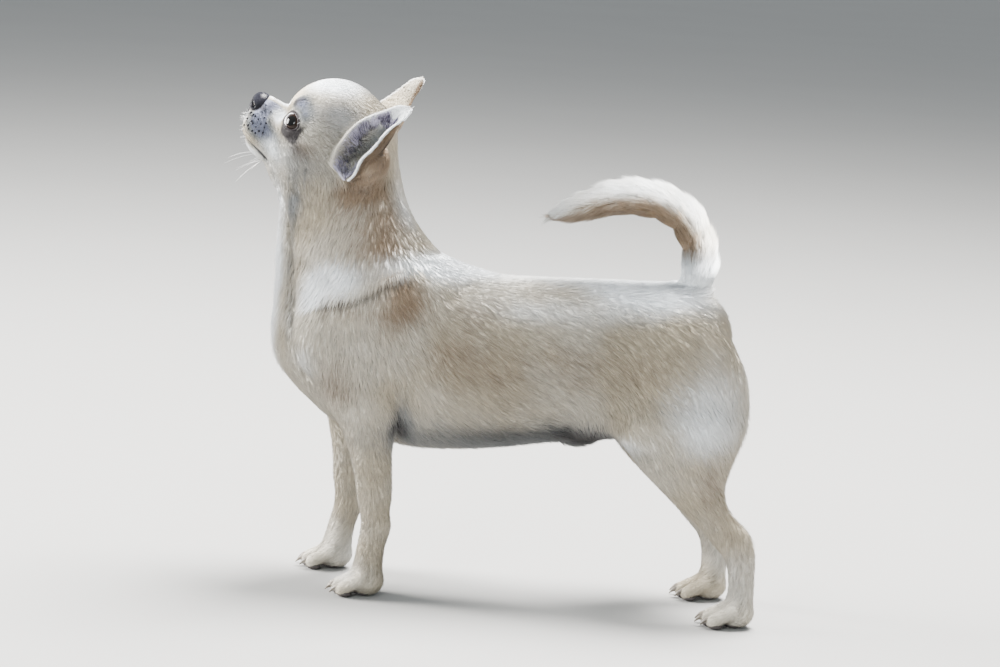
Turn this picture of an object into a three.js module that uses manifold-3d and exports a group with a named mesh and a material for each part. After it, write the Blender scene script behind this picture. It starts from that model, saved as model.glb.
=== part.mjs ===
import * as THREE from 'three';
import Module from 'manifold-3d';

const wasm = await Module();
wasm.setup();
const { Manifold, Mesh } = wasm;

// A chihuahua that stands with its head raised. It faces -X, its left side is -Y and the floor is z = 0.
// Every size is in millimetres and is taken over the coat.

// Driving dimensions
const GAP = 0.3;
const PLACE = [0, 0.3, 0];
const FORE_LEAD = 19;
const FORE_LEAN = 0.09;
const HIND_LEAD = 17;
const HEAD_MIDDLE = [-95, 0, 262];
const HEAD_PITCH = 27.5;
const HEAD_ROLL = 5;
const HEAD_TURN = 5.5;
const EYE_MIDDLE = [33, 17.5, -2];
const EYE_RADIUS = 8.6;
const EYE_OUT = 44;
const EYE_UP = 10;
const LID_THICKNESS = 1.5;
const PAW_HEIGHT = { fore: 21, hind: 24 };
const PAW_REACH = 18;

// The two edges of an ear, from its root to its tip: share of the length, then forward, out and up from
// the middle of the head
const EAR_FRONT = [[0, -3, 34, -12], [0.09, 6, 32.2, -8], [0.25, 8.2, 32.4, 4], [0.47, 6, 29, 18],
  [0.63, 1.5, 30, 27], [0.8, -4.5, 34, 35.6], [0.94, -10.5, 39, 44], [1, -16, 41.8, 47]];
const EAR_REAR = [[0, -7.5, 36, -11], [0.09, -9.5, 39.5, -5], [0.25, -9.5, 42.3, 4], [0.47, -12, 43.4, 14.2],
  [0.63, -12.6, 44, 24], [0.8, -14.4, 44, 33], [0.94, -18, 43.1, 41], [1, -18.4, 42.3, 46]];
const EAR_DEPTH = [[0, 5], [0.09, 14], [0.25, 18], [0.47, 17.5], [0.63, 13.5], [0.8, 7.5], [0.94, 2.6],
  [1, 0.8]];
const RIGHT_EAR_BOW = 4.5;

// Profiles of the torso, taken along its length: height of the back, height of the belly, half width
const TORSO_TOP = [[-125, 165], [-100, 186], [-70, 195], [-37, 196.5], [-17, 195], [0, 192.5], [33, 193.5],
  [57, 194.5], [81, 195], [97, 193.5], [110, 189.5], [122, 182], [132, 171]];
const TORSO_LOW = [[-125, 128], [-115, 114], [-103, 102], [-85, 93], [-62, 88], [-45, 86], [-14, 88],
  [16, 92.5], [34, 96], [64, 99.5], [85, 103], [105, 112], [120, 126], [132, 140]];
const TORSO_WIDE = [[-125, 22], [-105, 34], [-85, 39.5], [-60, 42], [-30, 43], [0, 41.5], [30, 38], [60, 35],
  [85, 36], [105, 37], [120, 33], [132, 20]];

// Profiles of the neck, taken up its height: throat, nape, half width
const NECK_FRONT = [[125, -127], [140, -134], [152, -135.5], [167, -136.5], [221, -136.5], [237, -138],
  [250, -135], [262, -125]];
const NECK_BACK = [[125, -40], [150, -35], [175, -25], [190, -18], [196, -27], [201, -37.5], [208, -45],
  [216, -52], [225, -58], [235, -62.5], [250, -66.5], [262, -69.5], [276, -72]];
const NECK_WIDE = [[125, 30], [150, 36], [175, 38], [200, 36], [215, 33.5], [228, 31.5], [240, 30.5],
  [262, 29]];

// Profiles of the legs, taken up their height: front edge, back edge, distance from the middle, half width
const FORE_FRONT = [[8, -79.5], [20, -78], [30, -76.5], [41, -75], [48, -75.5], [56, -78], [66, -79.5],
  [78, -82], [88, -85], [100, -89.5], [112, -95], [125, -104]];
const FORE_BACK = [[8, -60], [15, -60], [27, -59.5], [34, -58], [42, -56], [50, -57.5], [59, -56.5],
  [72, -57], [88, -58], [100, -57.5], [105, -55.5], [125, -56]];
const FORE_SIDE = [[8, 28], [30, 27.5], [60, 27], [100, 28], [125, 27]];
const FORE_WIDE = [[8, 9.5], [27, 8.5], [41, 8.6], [50, 8.3], [66, 9], [88, 10.5], [105, 12.5], [125, 15]];
const HIND_FRONT = [[8, 143], [17, 142.5], [28, 142], [39, 139.5], [47, 132], [57, 122.5], [68, 110],
  [79, 98], [89, 88], [100, 80], [106, 72], [115, 70], [128, 72]];
const HIND_BACK = [[8, 158], [22, 158.5], [35, 158.3], [47, 158], [56, 154.5], [64, 146], [72, 139.5],
  [82, 137.5], [88, 138.5], [97, 141], [107, 143.5], [128, 146]];
const HIND_SIDE = [[10, 29], [50, 28], [80, 30], [106, 29], [128, 27]];
const HIND_WIDE = [[8, 8.5], [22, 7.5], [35, 7], [50, 7], [64, 7.5], [75, 9.5], [89, 12.5], [106, 15.5],
  [128, 17]];

// The tail: points along its middle in the middle plane, each with its radius
const TAIL = [[108, 182, 13.5], [111, 199, 12.4], [111.5, 214, 11.6], [104.5, 231, 11.7], [92, 240, 11.8],
  [77, 243.5, 11.9], [63, 242.8, 11.6], [51, 239, 10.4], [41, 235.2, 9.3], [31.5, 231.3, 7], [24, 229, 3.4]];

// The outline of one slice: the curve through a few pairs, with no overshoot between them
function curve(pairs) {
  const last = pairs.length - 1;
  const slope = pairs.slice(1).map((pair, i) => (pair[1] - pairs[i][1]) / (pair[0] - pairs[i][0]));
  const tangent = pairs.map((pair, i) => {
    if (i === 0) return slope[0];
    if (i === last) return slope[last - 1];
    if (slope[i - 1] * slope[i] <= 0) return 0;
    return 2 / (1 / slope[i - 1] + 1 / slope[i]);
  });
  return (x) => {
    if (x <= pairs[0][0]) return pairs[0][1];
    if (x >= pairs[last][0]) return pairs[last][1];
    let i = 0;
    while (x > pairs[i + 1][0]) i += 1;
    const length = pairs[i + 1][0] - pairs[i][0];
    const t = (x - pairs[i][0]) / length;
    const rise = pairs[i + 1][1] - pairs[i][1];
    const ease = t * t * (3 - 2 * t);
    const left = t * (1 - t) * (1 - t) * tangent[i];
    const right = t * t * (t - 1) * tangent[i + 1];
    return pairs[i][1] + rise * ease + length * (left + right);
  };
}

const torsoTop = curve(TORSO_TOP);
const torsoLow = curve(TORSO_LOW);
const torsoWide = curve(TORSO_WIDE);
const neckFront = curve(NECK_FRONT);
const neckBack = curve(NECK_BACK);
const neckWide = curve(NECK_WIDE);
const fore = [FORE_FRONT, FORE_BACK, FORE_SIDE, FORE_WIDE].map(curve);
const hind = [HIND_FRONT, HIND_BACK, HIND_SIDE, HIND_WIDE].map(curve);

// Fields that are negative inside a form
const join = (a, b, soft) => {
  const near = Math.max(soft - Math.abs(a - b), 0) / soft;
  return Math.min(a, b) - near * near * soft / 4;
};
const clip = (a, b, soft) => -join(-a, -b, soft);
const ball = (p, middle, radii) => {
  const q = [0, 1, 2].map((i) => (p[i] - middle[i]) / radii[i]);
  const reach = Math.hypot(...q);
  const steep = Math.hypot(q[0] / radii[0], q[1] / radii[1], q[2] / radii[2]);
  return steep < 1e-9 ? -Math.min(...radii) : reach * (reach - 1) / steep;
};
const oval = (a, b, halfA, halfB, power) => {
  const sum = Math.abs(a / halfA) ** power + Math.abs(b / halfB) ** power;
  return (sum ** (1 / power) - 1) * Math.min(halfA, halfB);
};
const bone = (p, a, b, radiusA, radiusB) => {
  const axis = [0, 1, 2].map((i) => b[i] - a[i]);
  const from = [0, 1, 2].map((i) => p[i] - a[i]);
  const dot = (u, v) => u[0] * v[0] + u[1] * v[1] + u[2] * v[2];
  const t = Math.min(1, Math.max(0, dot(from, axis) / dot(axis, axis)));
  const away = Math.hypot(from[0] - t * axis[0], from[1] - t * axis[1], from[2] - t * axis[2]);
  return away - radiusA - (radiusB - radiusA) * t;
};

// The head's own frame: forward along the muzzle, out to the dog's left, up through the crown
const radians = THREE.MathUtils.degToRad;
const headForward = new THREE.Vector3(-Math.cos(radians(HEAD_PITCH)), 0, Math.sin(radians(HEAD_PITCH)));
const headLeft = new THREE.Vector3(0, -1, 0).applyAxisAngle(headForward, -radians(HEAD_ROLL));
const headUp = new THREE.Vector3().crossVectors(headLeft, headForward).negate();
for (const axis of [headForward, headLeft]) axis.applyAxisAngle(headUp, radians(HEAD_TURN));
const headMiddle = new THREE.Vector3(...HEAD_MIDDLE);
const toHead = (p) => {
  const from = new THREE.Vector3(...p).sub(headMiddle);
  return [from.dot(headForward), from.dot(headLeft), from.dot(headUp)];
};
const fromHead = (s, l, t) => headMiddle.clone().addScaledVector(headForward, s)
  .addScaledVector(headLeft, l).addScaledVector(headUp, t);

// Forms of the body
function torsoField([x, y, z]) {
  const top = torsoTop(x);
  const low = torsoLow(x);
  const slice = oval(z - (top + low) / 2, y, (top - low) / 2, torsoWide(x), 2.25);
  return clip(slice, Math.abs(x - 2) - 126, 8);
}

function neckField([x, y, z]) {
  const front = neckFront(z);
  const back = neckBack(z);
  const slice = oval(x - (front + back) / 2, y, (back - front) / 2, neckWide(z), 2.15);
  return clip(slice, Math.abs(z - 197) - 68, 8);
}

// The right legs stand further forward, the right foreleg more so toward its paw
function leadAt(lead, lean, y, z) {
  const t = Math.min(1, Math.max(0, (y + 8) / 16));
  return -t * t * (3 - 2 * t) * (lead + lean * (100 - Math.min(z, 100)));
}

function legField([x, y, z], profile, lead, lean, top) {
  const front = profile[0](z);
  const back = profile[1](z);
  const across = Math.abs(y) - profile[2](z);
  const along = x - leadAt(lead, lean, y, z) - (front + back) / 2;
  const slice = oval(along, across, (back - front) / 2, profile[3](z), 2.1);
  return clip(slice, Math.abs(z - (top + 6) / 2) - (top - 6) / 2, 4);
}

const TOES = [[-9, 0.5], [-3.3, 4], [3.3, 4], [9, 0.5]];
function pawField(p, heel, lead, lean, side) {
  const x = p[0] - leadAt(lead, lean, p[1], 8) - heel;
  const y = Math.abs(p[1]) - side;
  const q = [x, y, p[2]];
  let form = ball(q, [-6, 0, 8], [11, 9.5, 9]);
  for (const [across, ahead] of TOES) {
    const knuckle = [-8 - ahead * 0.6, across * 0.8, 10.4];
    const tip = [-PAW_REACH - ahead, across, 4.7];
    form = join(form, bone(q, knuckle, tip, 4.8, 4.4), 1.5);
  }
  return form;
}

function tailField(p) {
  let form = 1e3;
  for (let i = 1; i < TAIL.length; i += 1) {
    const [ax, az, ar] = TAIL[i - 1];
    const [bx, bz, br] = TAIL[i];
    form = join(form, bone(p, [ax, 0, az], [bx, 0, bz], ar, br), 2.5);
  }
  return form;
}

function headField(p) {
  const [s, side, t] = toHead(p);
  const q = [s, Math.abs(side), t];
  let form = ball(q, [13, 0, 3], [31, 31.5, 29.5]);
  form = join(form, ball(q, [-4, 0, 3], [19, 25, 25]), 6);
  form = join(form, ball(q, [16, 18, -13], [21, 14, 18]), 9);
  form = join(form, ball(q, [20, 0, -26], [23, 19, 18.5]), 9);
  form = join(form, ball(q, [33, 10.5, -14], [14, 11, 13]), 6);
  let muzzle = bone(q, [34, 0, -10.5], [53.5, 0, -10.5], 10.3, 9.6);
  muzzle = join(muzzle, ball(q, [49.5, 7, -17.5], [12.6, 8.6, 11.5]), 4);
  muzzle = join(muzzle, ball(q, [43, 0, -27.5], [13.5, 10.5, 7.5]), 3);
  form = join(form, muzzle, 3.5);
  form = join(form, clip(bone(q, [40, 0, -8.8], [60, 0, -8.2], 9.3, 9.2), s - 57.2, 2.5), 2);
  form = join(form, ball(q, [34, 13, 8], [8, 9.5, 7]), 4);
  return join(form, ball(q, [-16, 24, 1], [8.5, 11, 14]), 7);
}

function bodyField(p) {
  const mirrored = [p[0], Math.abs(p[1]), p[2]];
  let form = join(torsoField(p), ball(p, [-110, 0, 149], [23.5, 30, 36]), 9);
  form = join(form, neckField(p), 8);
  form = join(form, bone(mirrored, [-52, 20, 178], [-104, 24, 152], 18, 15), 14);
  const arm = [p[0] - leadAt(FORE_LEAD * 0.7, 0, p[1], 100), mirrored[1], p[2]];
  form = join(form, bone(arm, [-102, 24, 147], [-70, 27, 114], 15, 13), 12);
  form = join(form, ball(p, [104, 0, 161], [30, 32, 32]), 12);
  const haunch = [p[0] - leadAt(HIND_LEAD * 0.5, 0, p[1], 100), mirrored[1], p[2]];
  form = join(form, ball(haunch, [107, 23, 132], [40, 17, 46]), 12);
  form = join(form, legField(p, fore, FORE_LEAD, FORE_LEAN, 124), 7);
  form = join(form, legField(p, hind, HIND_LEAD, 0, 128), 7);
  form = join(form, pawField(p, -64, FORE_LEAD, FORE_LEAN, 28), 4);
  form = join(form, pawField(p, 154, HIND_LEAD, 0, 29), 4);
  form = join(form, ball(p, [44, 0, 97], [15, 6.5, 6]), 5);
  form = join(form, tailField(p), 7);
  return join(form, headField(p), 8);
}

// A closed surface over a field inside a box, with its points laid on the form
function skin(field, low, high, step) {
  const count = low.map((from, i) => Math.round((high[i] - from) / step[i]) + 1);
  const size = low.map((from, i) => (high[i] - from) / (count[i] - 1));
  const stride = [1, count[0], count[0] * count[1]];
  const place = (o) => {
    const k = Math.floor(o / stride[2]);
    const j = Math.floor((o - k * stride[2]) / stride[1]);
    return [o - k * stride[2] - j * stride[1], j, k];
  };
  const value = new Float64Array(stride[2] * count[2]);
  for (let o = 0; o < value.length; o += 1) {
    const cell = place(o);
    const rim = cell.some((c, i) => c === 0 || c === count[i] - 1);
    value[o] = rim ? Math.min(...size) : field(cell.map((c, i) => low[i] + c * size[i]));
  }
  const inner = (cell, margin) => cell.every((c, i) => c < count[i] - margin);

  // A face whose corners alternate would pinch the surface, so its shallower outer corner is filled
  for (let changed = true; changed;) {
    changed = false;
    for (let o = 0; o < value.length; o += 1) {
      if (!inner(place(o), 1)) continue;
      for (const [a, b] of [[0, 1], [1, 2], [0, 2]]) {
        const corner = [o, o + stride[a], o + stride[a] + stride[b], o + stride[b]];
        const inside = corner.map((c) => value[c] < 0);
        if (inside[0] !== inside[2] || inside[1] !== inside[3] || inside[0] === inside[1]) continue;
        const outer = inside[0] ? [corner[1], corner[3]] : [corner[0], corner[2]];
        value[value[outer[0]] < value[outer[1]] ? outer[0] : outer[1]] = -1e-3;
        changed = true;
      }
    }
  }

  // One point in each cell that the surface passes through
  const id = new Map();
  const points = [];
  const fixed = [];
  for (let o = 0; o < value.length; o += 1) {
    const cell = place(o);
    if (!inner(cell, 1)) continue;
    const sum = [0, 0, 0];
    let hits = 0;
    for (let axis = 0; axis < 3; axis += 1) {
      const [a, b] = [(axis + 1) % 3, (axis + 2) % 3];
      for (const [u, v] of [[0, 0], [1, 0], [0, 1], [1, 1]]) {
        const start = o + u * stride[a] + v * stride[b];
        const end = start + stride[axis];
        if ((value[start] < 0) === (value[end] < 0)) continue;
        sum[axis] += value[start] / (value[start] - value[end]);
        sum[a] += u;
        sum[b] += v;
        hits += 1;
      }
    }
    if (hits === 0) continue;
    id.set(o, points.length);
    points.push(sum.map((total, i) => low[i] + (cell[i] + total / hits) * size[i]));
    fixed.push(cell.some((c, i) => c === 0 || c === count[i] - 2));
  }

  // Four cells round each crossed edge make a facet pair
  const faces = [];
  for (let o = 0; o < value.length; o += 1) {
    const cell = place(o);
    for (let axis = 0; axis < 3; axis += 1) {
      const [a, b] = [(axis + 1) % 3, (axis + 2) % 3];
      if (cell[axis] >= count[axis] - 1 || cell[a] === 0 || cell[b] === 0) continue;
      const end = o + stride[axis];
      if ((value[o] < 0) === (value[end] < 0)) continue;
      const ring = [o - stride[a] - stride[b], o - stride[b], o, o - stride[a]].map((c) => id.get(c));
      if (value[o] >= 0) ring.reverse();
      faces.push(ring);
    }
  }

  const slope = (p) => {
    const reach = 0.05;
    return [0, 1, 2].map((i) => {
      const ahead = p.slice();
      const behind = p.slice();
      ahead[i] += reach;
      behind[i] -= reach;
      return (field(ahead) - field(behind)) / (2 * reach);
    });
  };
  const settle = (p) => {
    for (let turn = 0; turn < 3; turn += 1) {
      const lift = field(p);
      const g = slope(p);
      const square = g[0] * g[0] + g[1] * g[1] + g[2] * g[2];
      const move = Math.max(-2, Math.min(2, lift)) / Math.max(square, 0.2);
      for (let i = 0; i < 3; i += 1) p[i] -= move * g[i];
    }
  };
  points.forEach((p, i) => { if (!fixed[i]) settle(p); });
  for (let turn = 0; turn < 2; turn += 1) {
    const total = points.map(() => [0, 0, 0, 0]);
    for (const ring of faces) {
      ring.forEach((v, i) => {
        const next = ring[(i + 1) % 4];
        for (let c = 0; c < 3; c += 1) total[v][c] += points[next][c];
        for (let c = 0; c < 3; c += 1) total[next][c] += points[v][c];
        total[v][3] += 1;
        total[next][3] += 1;
      });
    }
    points.forEach((p, i) => {
      if (fixed[i]) return;
      for (let c = 0; c < 3; c += 1) p[c] += 0.5 * (total[i][c] / total[i][3] - p[c]);
      settle(p);
    });
  }

  const far = (a, b) => Math.hypot(...points[a].map((c, i) => c - points[b][i]));
  const triangles = [];
  for (const [a, b, c, d] of faces) {
    if (far(a, c) < far(b, d)) triangles.push(a, b, c, a, c, d);
    else triangles.push(a, b, d, b, c, d);
  }
  return new Manifold(new Mesh({
    numProp: 3,
    vertProperties: new Float32Array(points.flat()),
    triVerts: new Uint32Array(triangles),
  }));
}

// A solid from rings of points, closed at both ends
function loft(rings) {
  const sides = rings[0].length;
  const middle = (ring) => ring.reduce((sum, p) => sum.add(p), new THREE.Vector3()).divideScalar(sides);
  const points = [...rings.flat(), middle(rings[0]), middle(rings[rings.length - 1])];
  const start = points.length - 2;
  const end = points.length - 1;
  const top = (rings.length - 1) * sides;
  const triangles = [];
  for (let i = 0; i < sides; i += 1) {
    const next = (i + 1) % sides;
    for (let row = 0; row + 1 < rings.length; row += 1) {
      const [a, b] = [row * sides + i, row * sides + next];
      triangles.push([a, b, b + sides], [a, b + sides, a + sides]);
    }
    triangles.push([start, next, i], [end, top + i, top + next]);
  }
  let volume = 0;
  for (const [a, b, c] of triangles) {
    volume += points[a].dot(new THREE.Vector3().crossVectors(points[b], points[c]));
  }
  if (volume < 0) triangles.forEach((corner) => corner.reverse());
  return new Manifold(new Mesh({
    numProp: 3,
    vertProperties: new Float32Array(points.flatMap((p) => [p.x, p.y, p.z])),
    triVerts: new Uint32Array(triangles.flat()),
  }));
}

// A three.js solid as a manifold, moved by a matrix
function solid(geometry, matrix) {
  const from = geometry.getAttribute('position');
  const index = geometry.getIndex();
  const seen = new Map();
  const points = [];
  const corner = [];
  for (let i = 0; i < from.count; i += 1) {
    const p = new THREE.Vector3().fromBufferAttribute(from, i);
    const key = [p.x, p.y, p.z].map((c) => Math.round(c * 1e4)).join();
    if (!seen.has(key)) {
      seen.set(key, points.length / 3);
      p.applyMatrix4(matrix);
      points.push(p.x, p.y, p.z);
    }
    corner.push(seen.get(key));
  }
  const triangles = [];
  for (let i = 0; i < index.count; i += 3) {
    const [a, b, c] = [0, 1, 2].map((k) => corner[index.getX(i + k)]);
    if (a !== b && b !== c && c !== a) triangles.push(a, b, c);
  }
  return new Manifold(new Mesh({
    numProp: 3,
    vertProperties: new Float32Array(points),
    triVerts: new Uint32Array(triangles),
  }));
}

// A block between two corners, tilted about the cross axis through a pivot
function block(low, high, tilt = 0, pivot = [0, 0, 0]) {
  const size = high.map((to, i) => to - low[i]);
  const middle = high.map((to, i) => (to + low[i]) / 2 - pivot[i]);
  const matrix = new THREE.Matrix4().makeTranslation(...pivot)
    .multiply(new THREE.Matrix4().makeRotationY(radians(tilt)))
    .multiply(new THREE.Matrix4().makeTranslation(...middle));
  return solid(new THREE.BoxGeometry(...size), matrix);
}

// The half of space on one side of a plane across the middle plane of the body
function half(x, z, tilt, lift) {
  return block([x - 400, -200, z + lift], [x + 400, 200, z + 600], tilt, [x, 0, z]);
}

function largest(shape) {
  return shape.decompose().reduce((a, b) => (b.volume() > a.volume() ? b : a)).simplify(0.03);
}

// Cuts between the parts of the body
const slit = GAP / 2;
const neckCut = (lift) => half(-44, 207, -27.8, lift);
const headCut = (lift) => half(-140, 232, -16.9, lift);
const tailCut = (lift) => half(111, 200, 9, lift);
const bendCut = (lift) => half(101, 235, -38, lift);
const tipCut = (lift) => block([-200, -200, 100], [65 - lift, 200, 400]);

function foreBox(side, grow) {
  const lead = side > 0 ? -FORE_LEAD : 0;
  const inner = 15.5 - grow;
  const low = [-118 + lead - grow, side > 0 ? inner : -70, PAW_HEIGHT.fore + slit];
  const high = [-52 + lead + grow, side > 0 ? 70 : -inner, 110 + grow];
  return block(low, high);
}

function hindBox(side, grow) {
  const lead = side > 0 ? -HIND_LEAD * 0.6 : 0;
  const inner = 9 - grow;
  const low = [73 + lead - grow, side > 0 ? inner : -70, PAW_HEIGHT.hind + slit];
  const high = [190, side > 0 ? 70 : -inner, 120 + grow];
  return block(low, high);
}

// Torso, neck and tail
const torsoSkin = skin(bodyField, [-152, -56, 68], [164, 56, 222], [11.5, 8.4, 8.6]);
const rump = block([84, -60, 150], [200, 60, 400]);
let torso = torsoSkin.subtract(neckCut(-slit)).subtract(tailCut(-slit).intersect(rump));
for (const side of [-1, 1]) torso = torso.subtract(foreBox(side, GAP)).subtract(hindBox(side, GAP));
torso = largest(torso);

const neckSkin = skin(bodyField, [-152, -48, 138], [-20, 48, 272], [8.2, 8, 7.6]);
const neck = largest(neckSkin.intersect(neckCut(slit)).subtract(headCut(-slit)));

const tailSkin = skin(bodyField, [8, -20, 184], [136, 20, 266], [5.8, 5.7, 5.8]);
const tailAll = tailSkin.intersect(tailCut(slit).intersect(block([0, -60, 150], [200, 60, 400])));
const tailBase = largest(tailAll.subtract(bendCut(-slit)));
const tailBend = largest(tailAll.intersect(bendCut(slit)).subtract(tipCut(-slit)));
const tailTip = largest(tailAll.intersect(tipCut(slit)));

// Head, with the eyes seated behind their lids, the nose leather and the line of the mouth
const headAxes = new THREE.Matrix4().makeBasis(headForward, headLeft, headUp).setPosition(headMiddle);
const headSkin = skin(bodyField, [-174, -46, 214], [-50, 46, 314], [4.9, 5.1, 4.9]);
let head = headSkin.intersect(headCut(slit));

const eyes = {};
for (const side of [1, -1]) {
  const middle = [EYE_MIDDLE[0], EYE_MIDDLE[1] * side, EYE_MIDDLE[2]];
  const gaze = new THREE.Matrix4().makeRotationZ(radians(EYE_OUT * side))
    .multiply(new THREE.Matrix4().makeRotationY(-radians(EYE_UP)));
  const frame = headAxes.clone().multiply(new THREE.Matrix4().makeTranslation(...middle)).multiply(gaze);
  const round = (radius, wide) => solid(new THREE.SphereGeometry(radius, wide, wide / 2),
    frame.clone().multiply(new THREE.Matrix4().makeRotationZ(-Math.PI / 2)));
  const slot = frame.clone().multiply(new THREE.Matrix4().makeRotationX(radians(-14 * side)))
    .multiply(new THREE.Matrix4().makeScale(2.2, 1.34, 1))
    .multiply(new THREE.Matrix4().makeTranslation(3.4, 0, 0));
  const opening = solid(new THREE.SphereGeometry(5, 14, 8), slot);
  head = head.add(round(EYE_RADIUS + LID_THICKNESS, 20));
  head = head.subtract(round(EYE_RADIUS + GAP, 18)).subtract(opening);
  eyes[side] = round(EYE_RADIUS, 18);
}

const noseField = (p) => {
  const [s, side, t] = toHead(p);
  const q = [s, Math.abs(side), t];
  const pad = join(ball(q, [58.6, 0, -5], [5.9, 7.2, 6.4]), ball(q, [59.6, 4.6, -7.4], [4.6, 3.9, 3.8]), 2);
  return join(pad, ball(q, [60.5, 0, -11.5], [3.4, 2.6, 4]), 2);
};
const noseBox = [[-168, -22, 266], [-132, 12, 302], [3.3, 3.1, 3.3]];
let nose = skin(noseField, ...noseBox);
head = head.subtract(skin((p) => noseField(p) - 2 * GAP, ...noseBox));
for (const side of [1, -1]) {
  const hole = headAxes.clone().multiply(new THREE.Matrix4().makeTranslation(63, 3.9 * side, -6.9))
    .multiply(new THREE.Matrix4().makeRotationZ(radians(32 * side)))
    .multiply(new THREE.Matrix4().makeScale(3.4, 1.7, 1.3));
  const wing = headAxes.clone().multiply(new THREE.Matrix4().makeTranslation(63.2, 6.5 * side, -7.7))
    .multiply(new THREE.Matrix4().makeRotationZ(radians(60 * side)))
    .multiply(new THREE.Matrix4().makeScale(3, 1.6, 0.7));
  nose = nose.subtract(solid(new THREE.SphereGeometry(1, 10, 6), hole));
  nose = nose.subtract(solid(new THREE.SphereGeometry(1, 8, 5), wing));
}
nose = largest(nose);

// The mouth line runs from one corner round the front to the other, as a thin wedge cut
function surfaceAlong(from, toward) {
  let near = 0;
  let away = 40;
  for (let turn = 0; turn < 24; turn += 1) {
    const mid = (near + away) / 2;
    const p = fromHead(from[0] + toward[0] * mid, from[1] + toward[1] * mid, from[2] + toward[2] * mid);
    if (bodyField([p.x, p.y, p.z]) < 0) near = mid;
    else away = mid;
  }
  return near;
}
const mouthHeight = curve([[0, -23.2], [0.35, -26.4], [0.65, -29.2], [1, -31.5]]);
const mouthRings = [];
for (let i = -10; i <= 10; i += 1) {
  const part = Math.abs(i) / 10;
  const turn = radians(112 * i / 10);
  const height = mouthHeight(part);
  const heart = [42, 0, height];
  const out = [Math.cos(turn), Math.sin(turn), 0];
  const reach = surfaceAlong(heart, out);
  const deep = reach - 2.2 + 0.9 * part ** 6;
  const corner = (far, lift) => fromHead(heart[0] + out[0] * far, heart[1] + out[1] * far, height + lift);
  mouthRings.push([corner(reach + 3, 0.7), corner(reach + 3, -0.7), corner(deep, -0.3), corner(deep, 0.3)]);
}
head = head.subtract(loft(mouthRings));

// Ears: a cup between two edges, seated in a pocket of the head
const edge = (pairs) => {
  const lines = [1, 2, 3].map((i) => curve(pairs.map((pair) => [pair[0], pair[i]])));
  return (u, side) => {
    const bow = side < 0 ? RIGHT_EAR_BOW * Math.sin(Math.PI * u) : 0;
    return fromHead(lines[0](u) - 0.7 * bow, lines[1](u) * side, lines[2](u) - 0.7 * bow);
  };
};
const earFront = edge(EAR_FRONT);
const earRear = edge(EAR_REAR);
const earDepth = curve(EAR_DEPTH);
const EAR_ROWS = 13;
const EAR_COLUMNS = 9;

function earRings(side, grow, filled) {
  const between = (u) => earFront(u, side).lerp(earRear(u, side), 0.5);
  const axis = between(1).sub(between(0)).normalize();
  const rings = [];
  for (let row = 0; row <= EAR_ROWS; row += 1) {
    const u = row / EAR_ROWS;
    const across = earRear(u, side).sub(earFront(u, side));
    const wide = across.length() / 2 + grow;
    across.normalize();
    const open = new THREE.Vector3().crossVectors(axis, across).normalize().multiplyScalar(-side);
    const deep = earDepth(u) + grow;
    const wall = 0.9 + 1.3 * (1 - u);
    const lip = Math.min(0.35 * wide, 0.8);
    const inside = Math.max(deep - wall, 0.3 * deep) * Math.min(1, 0.15 + u / 0.16);
    const ring = [];
    const add = (a, b) => ring.push(between(u).addScaledVector(across, a).addScaledVector(open, b));
    for (let i = 0; i <= EAR_COLUMNS; i += 1) {
      const turn = (i / EAR_COLUMNS - 0.5) * Math.PI;
      add(wide * Math.sin(turn), -deep * Math.cos(turn));
    }
    for (let i = EAR_COLUMNS; i >= 0; i -= 1) {
      const turn = (i / EAR_COLUMNS - 0.5) * Math.PI;
      if (filled) add(wide * Math.sin(turn), 2 + grow);
      else add((wide - lip) * Math.sin(turn), 0.5 - (inside + 0.5) * Math.cos(turn));
    }
    rings.push(ring);
  }
  if (filled) rings.unshift(rings[0].map((p) => p.clone().addScaledVector(axis, -grow)));
  return rings;
}
const ears = {};
let collar = neck;
for (const side of [1, -1]) {
  const pocket = loft(earRings(side, 1.7 * GAP, true));
  head = head.subtract(pocket);
  collar = collar.subtract(pocket);
  ears[side] = largest(loft(earRings(side, 0, false)));
}
head = largest(head);
collar = largest(collar);

// Legs and paws
function claw(root, out) {
  const rings = [];
  for (let i = 0; i <= 3; i += 1) {
    const u = i / 3;
    const [x, y, z] = [root[0] - 5.6 * u, root[1] + out * u, root[2] + 0.6 * u - 3.4 * u * u];
    const radius = 1.9 - 1.35 * u;
    const ring = [];
    for (let k = 0; k < 5; k += 1) {
      const turn = k * Math.PI * 0.4;
      ring.push(new THREE.Vector3(x, y + 0.8 * radius * Math.cos(turn), z + radius * Math.sin(turn)));
    }
    rings.push(ring);
  }
  return loft(rings);
}

const limbs = {};
function limb(name, side, heel, across, lead, lean, top, legBox, low, high, step) {
  const word = side > 0 ? 'left' : 'right';
  const middle = -side * across;
  const shift = leadAt(lead, lean, middle, 8);
  const sides = side > 0 ? [-high[1], -low[1]] : [low[1], high[1]];
  const legLow = [low[0] + shift, sides[0], low[2]];
  const legHigh = [high[0] + shift, sides[1], high[2]];
  const leg = skin(bodyField, legLow, legHigh, step).intersect(legBox);
  const pawLow = [heel + shift - 34, middle - 17, -6];
  const pawHigh = [heel + shift + 14, middle + 17, top + 8];
  const flat = block([-300, -100, 0], [300, 100, top - slit]);
  let paw = skin(bodyField, pawLow, pawHigh, [4.1, 3.8, 4.1]).intersect(flat);
  for (const [apart, ahead] of TOES) {
    const root = [heel + shift - PAW_REACH - ahead - 2, middle - side * apart, 5.4];
    paw = paw.add(claw(root, -side * apart * 0.06));
  }
  limbs[`${name}_leg_${word}`] = largest(leg);
  limbs[`${name}_paw_${word}`] = largest(paw);
}
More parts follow.
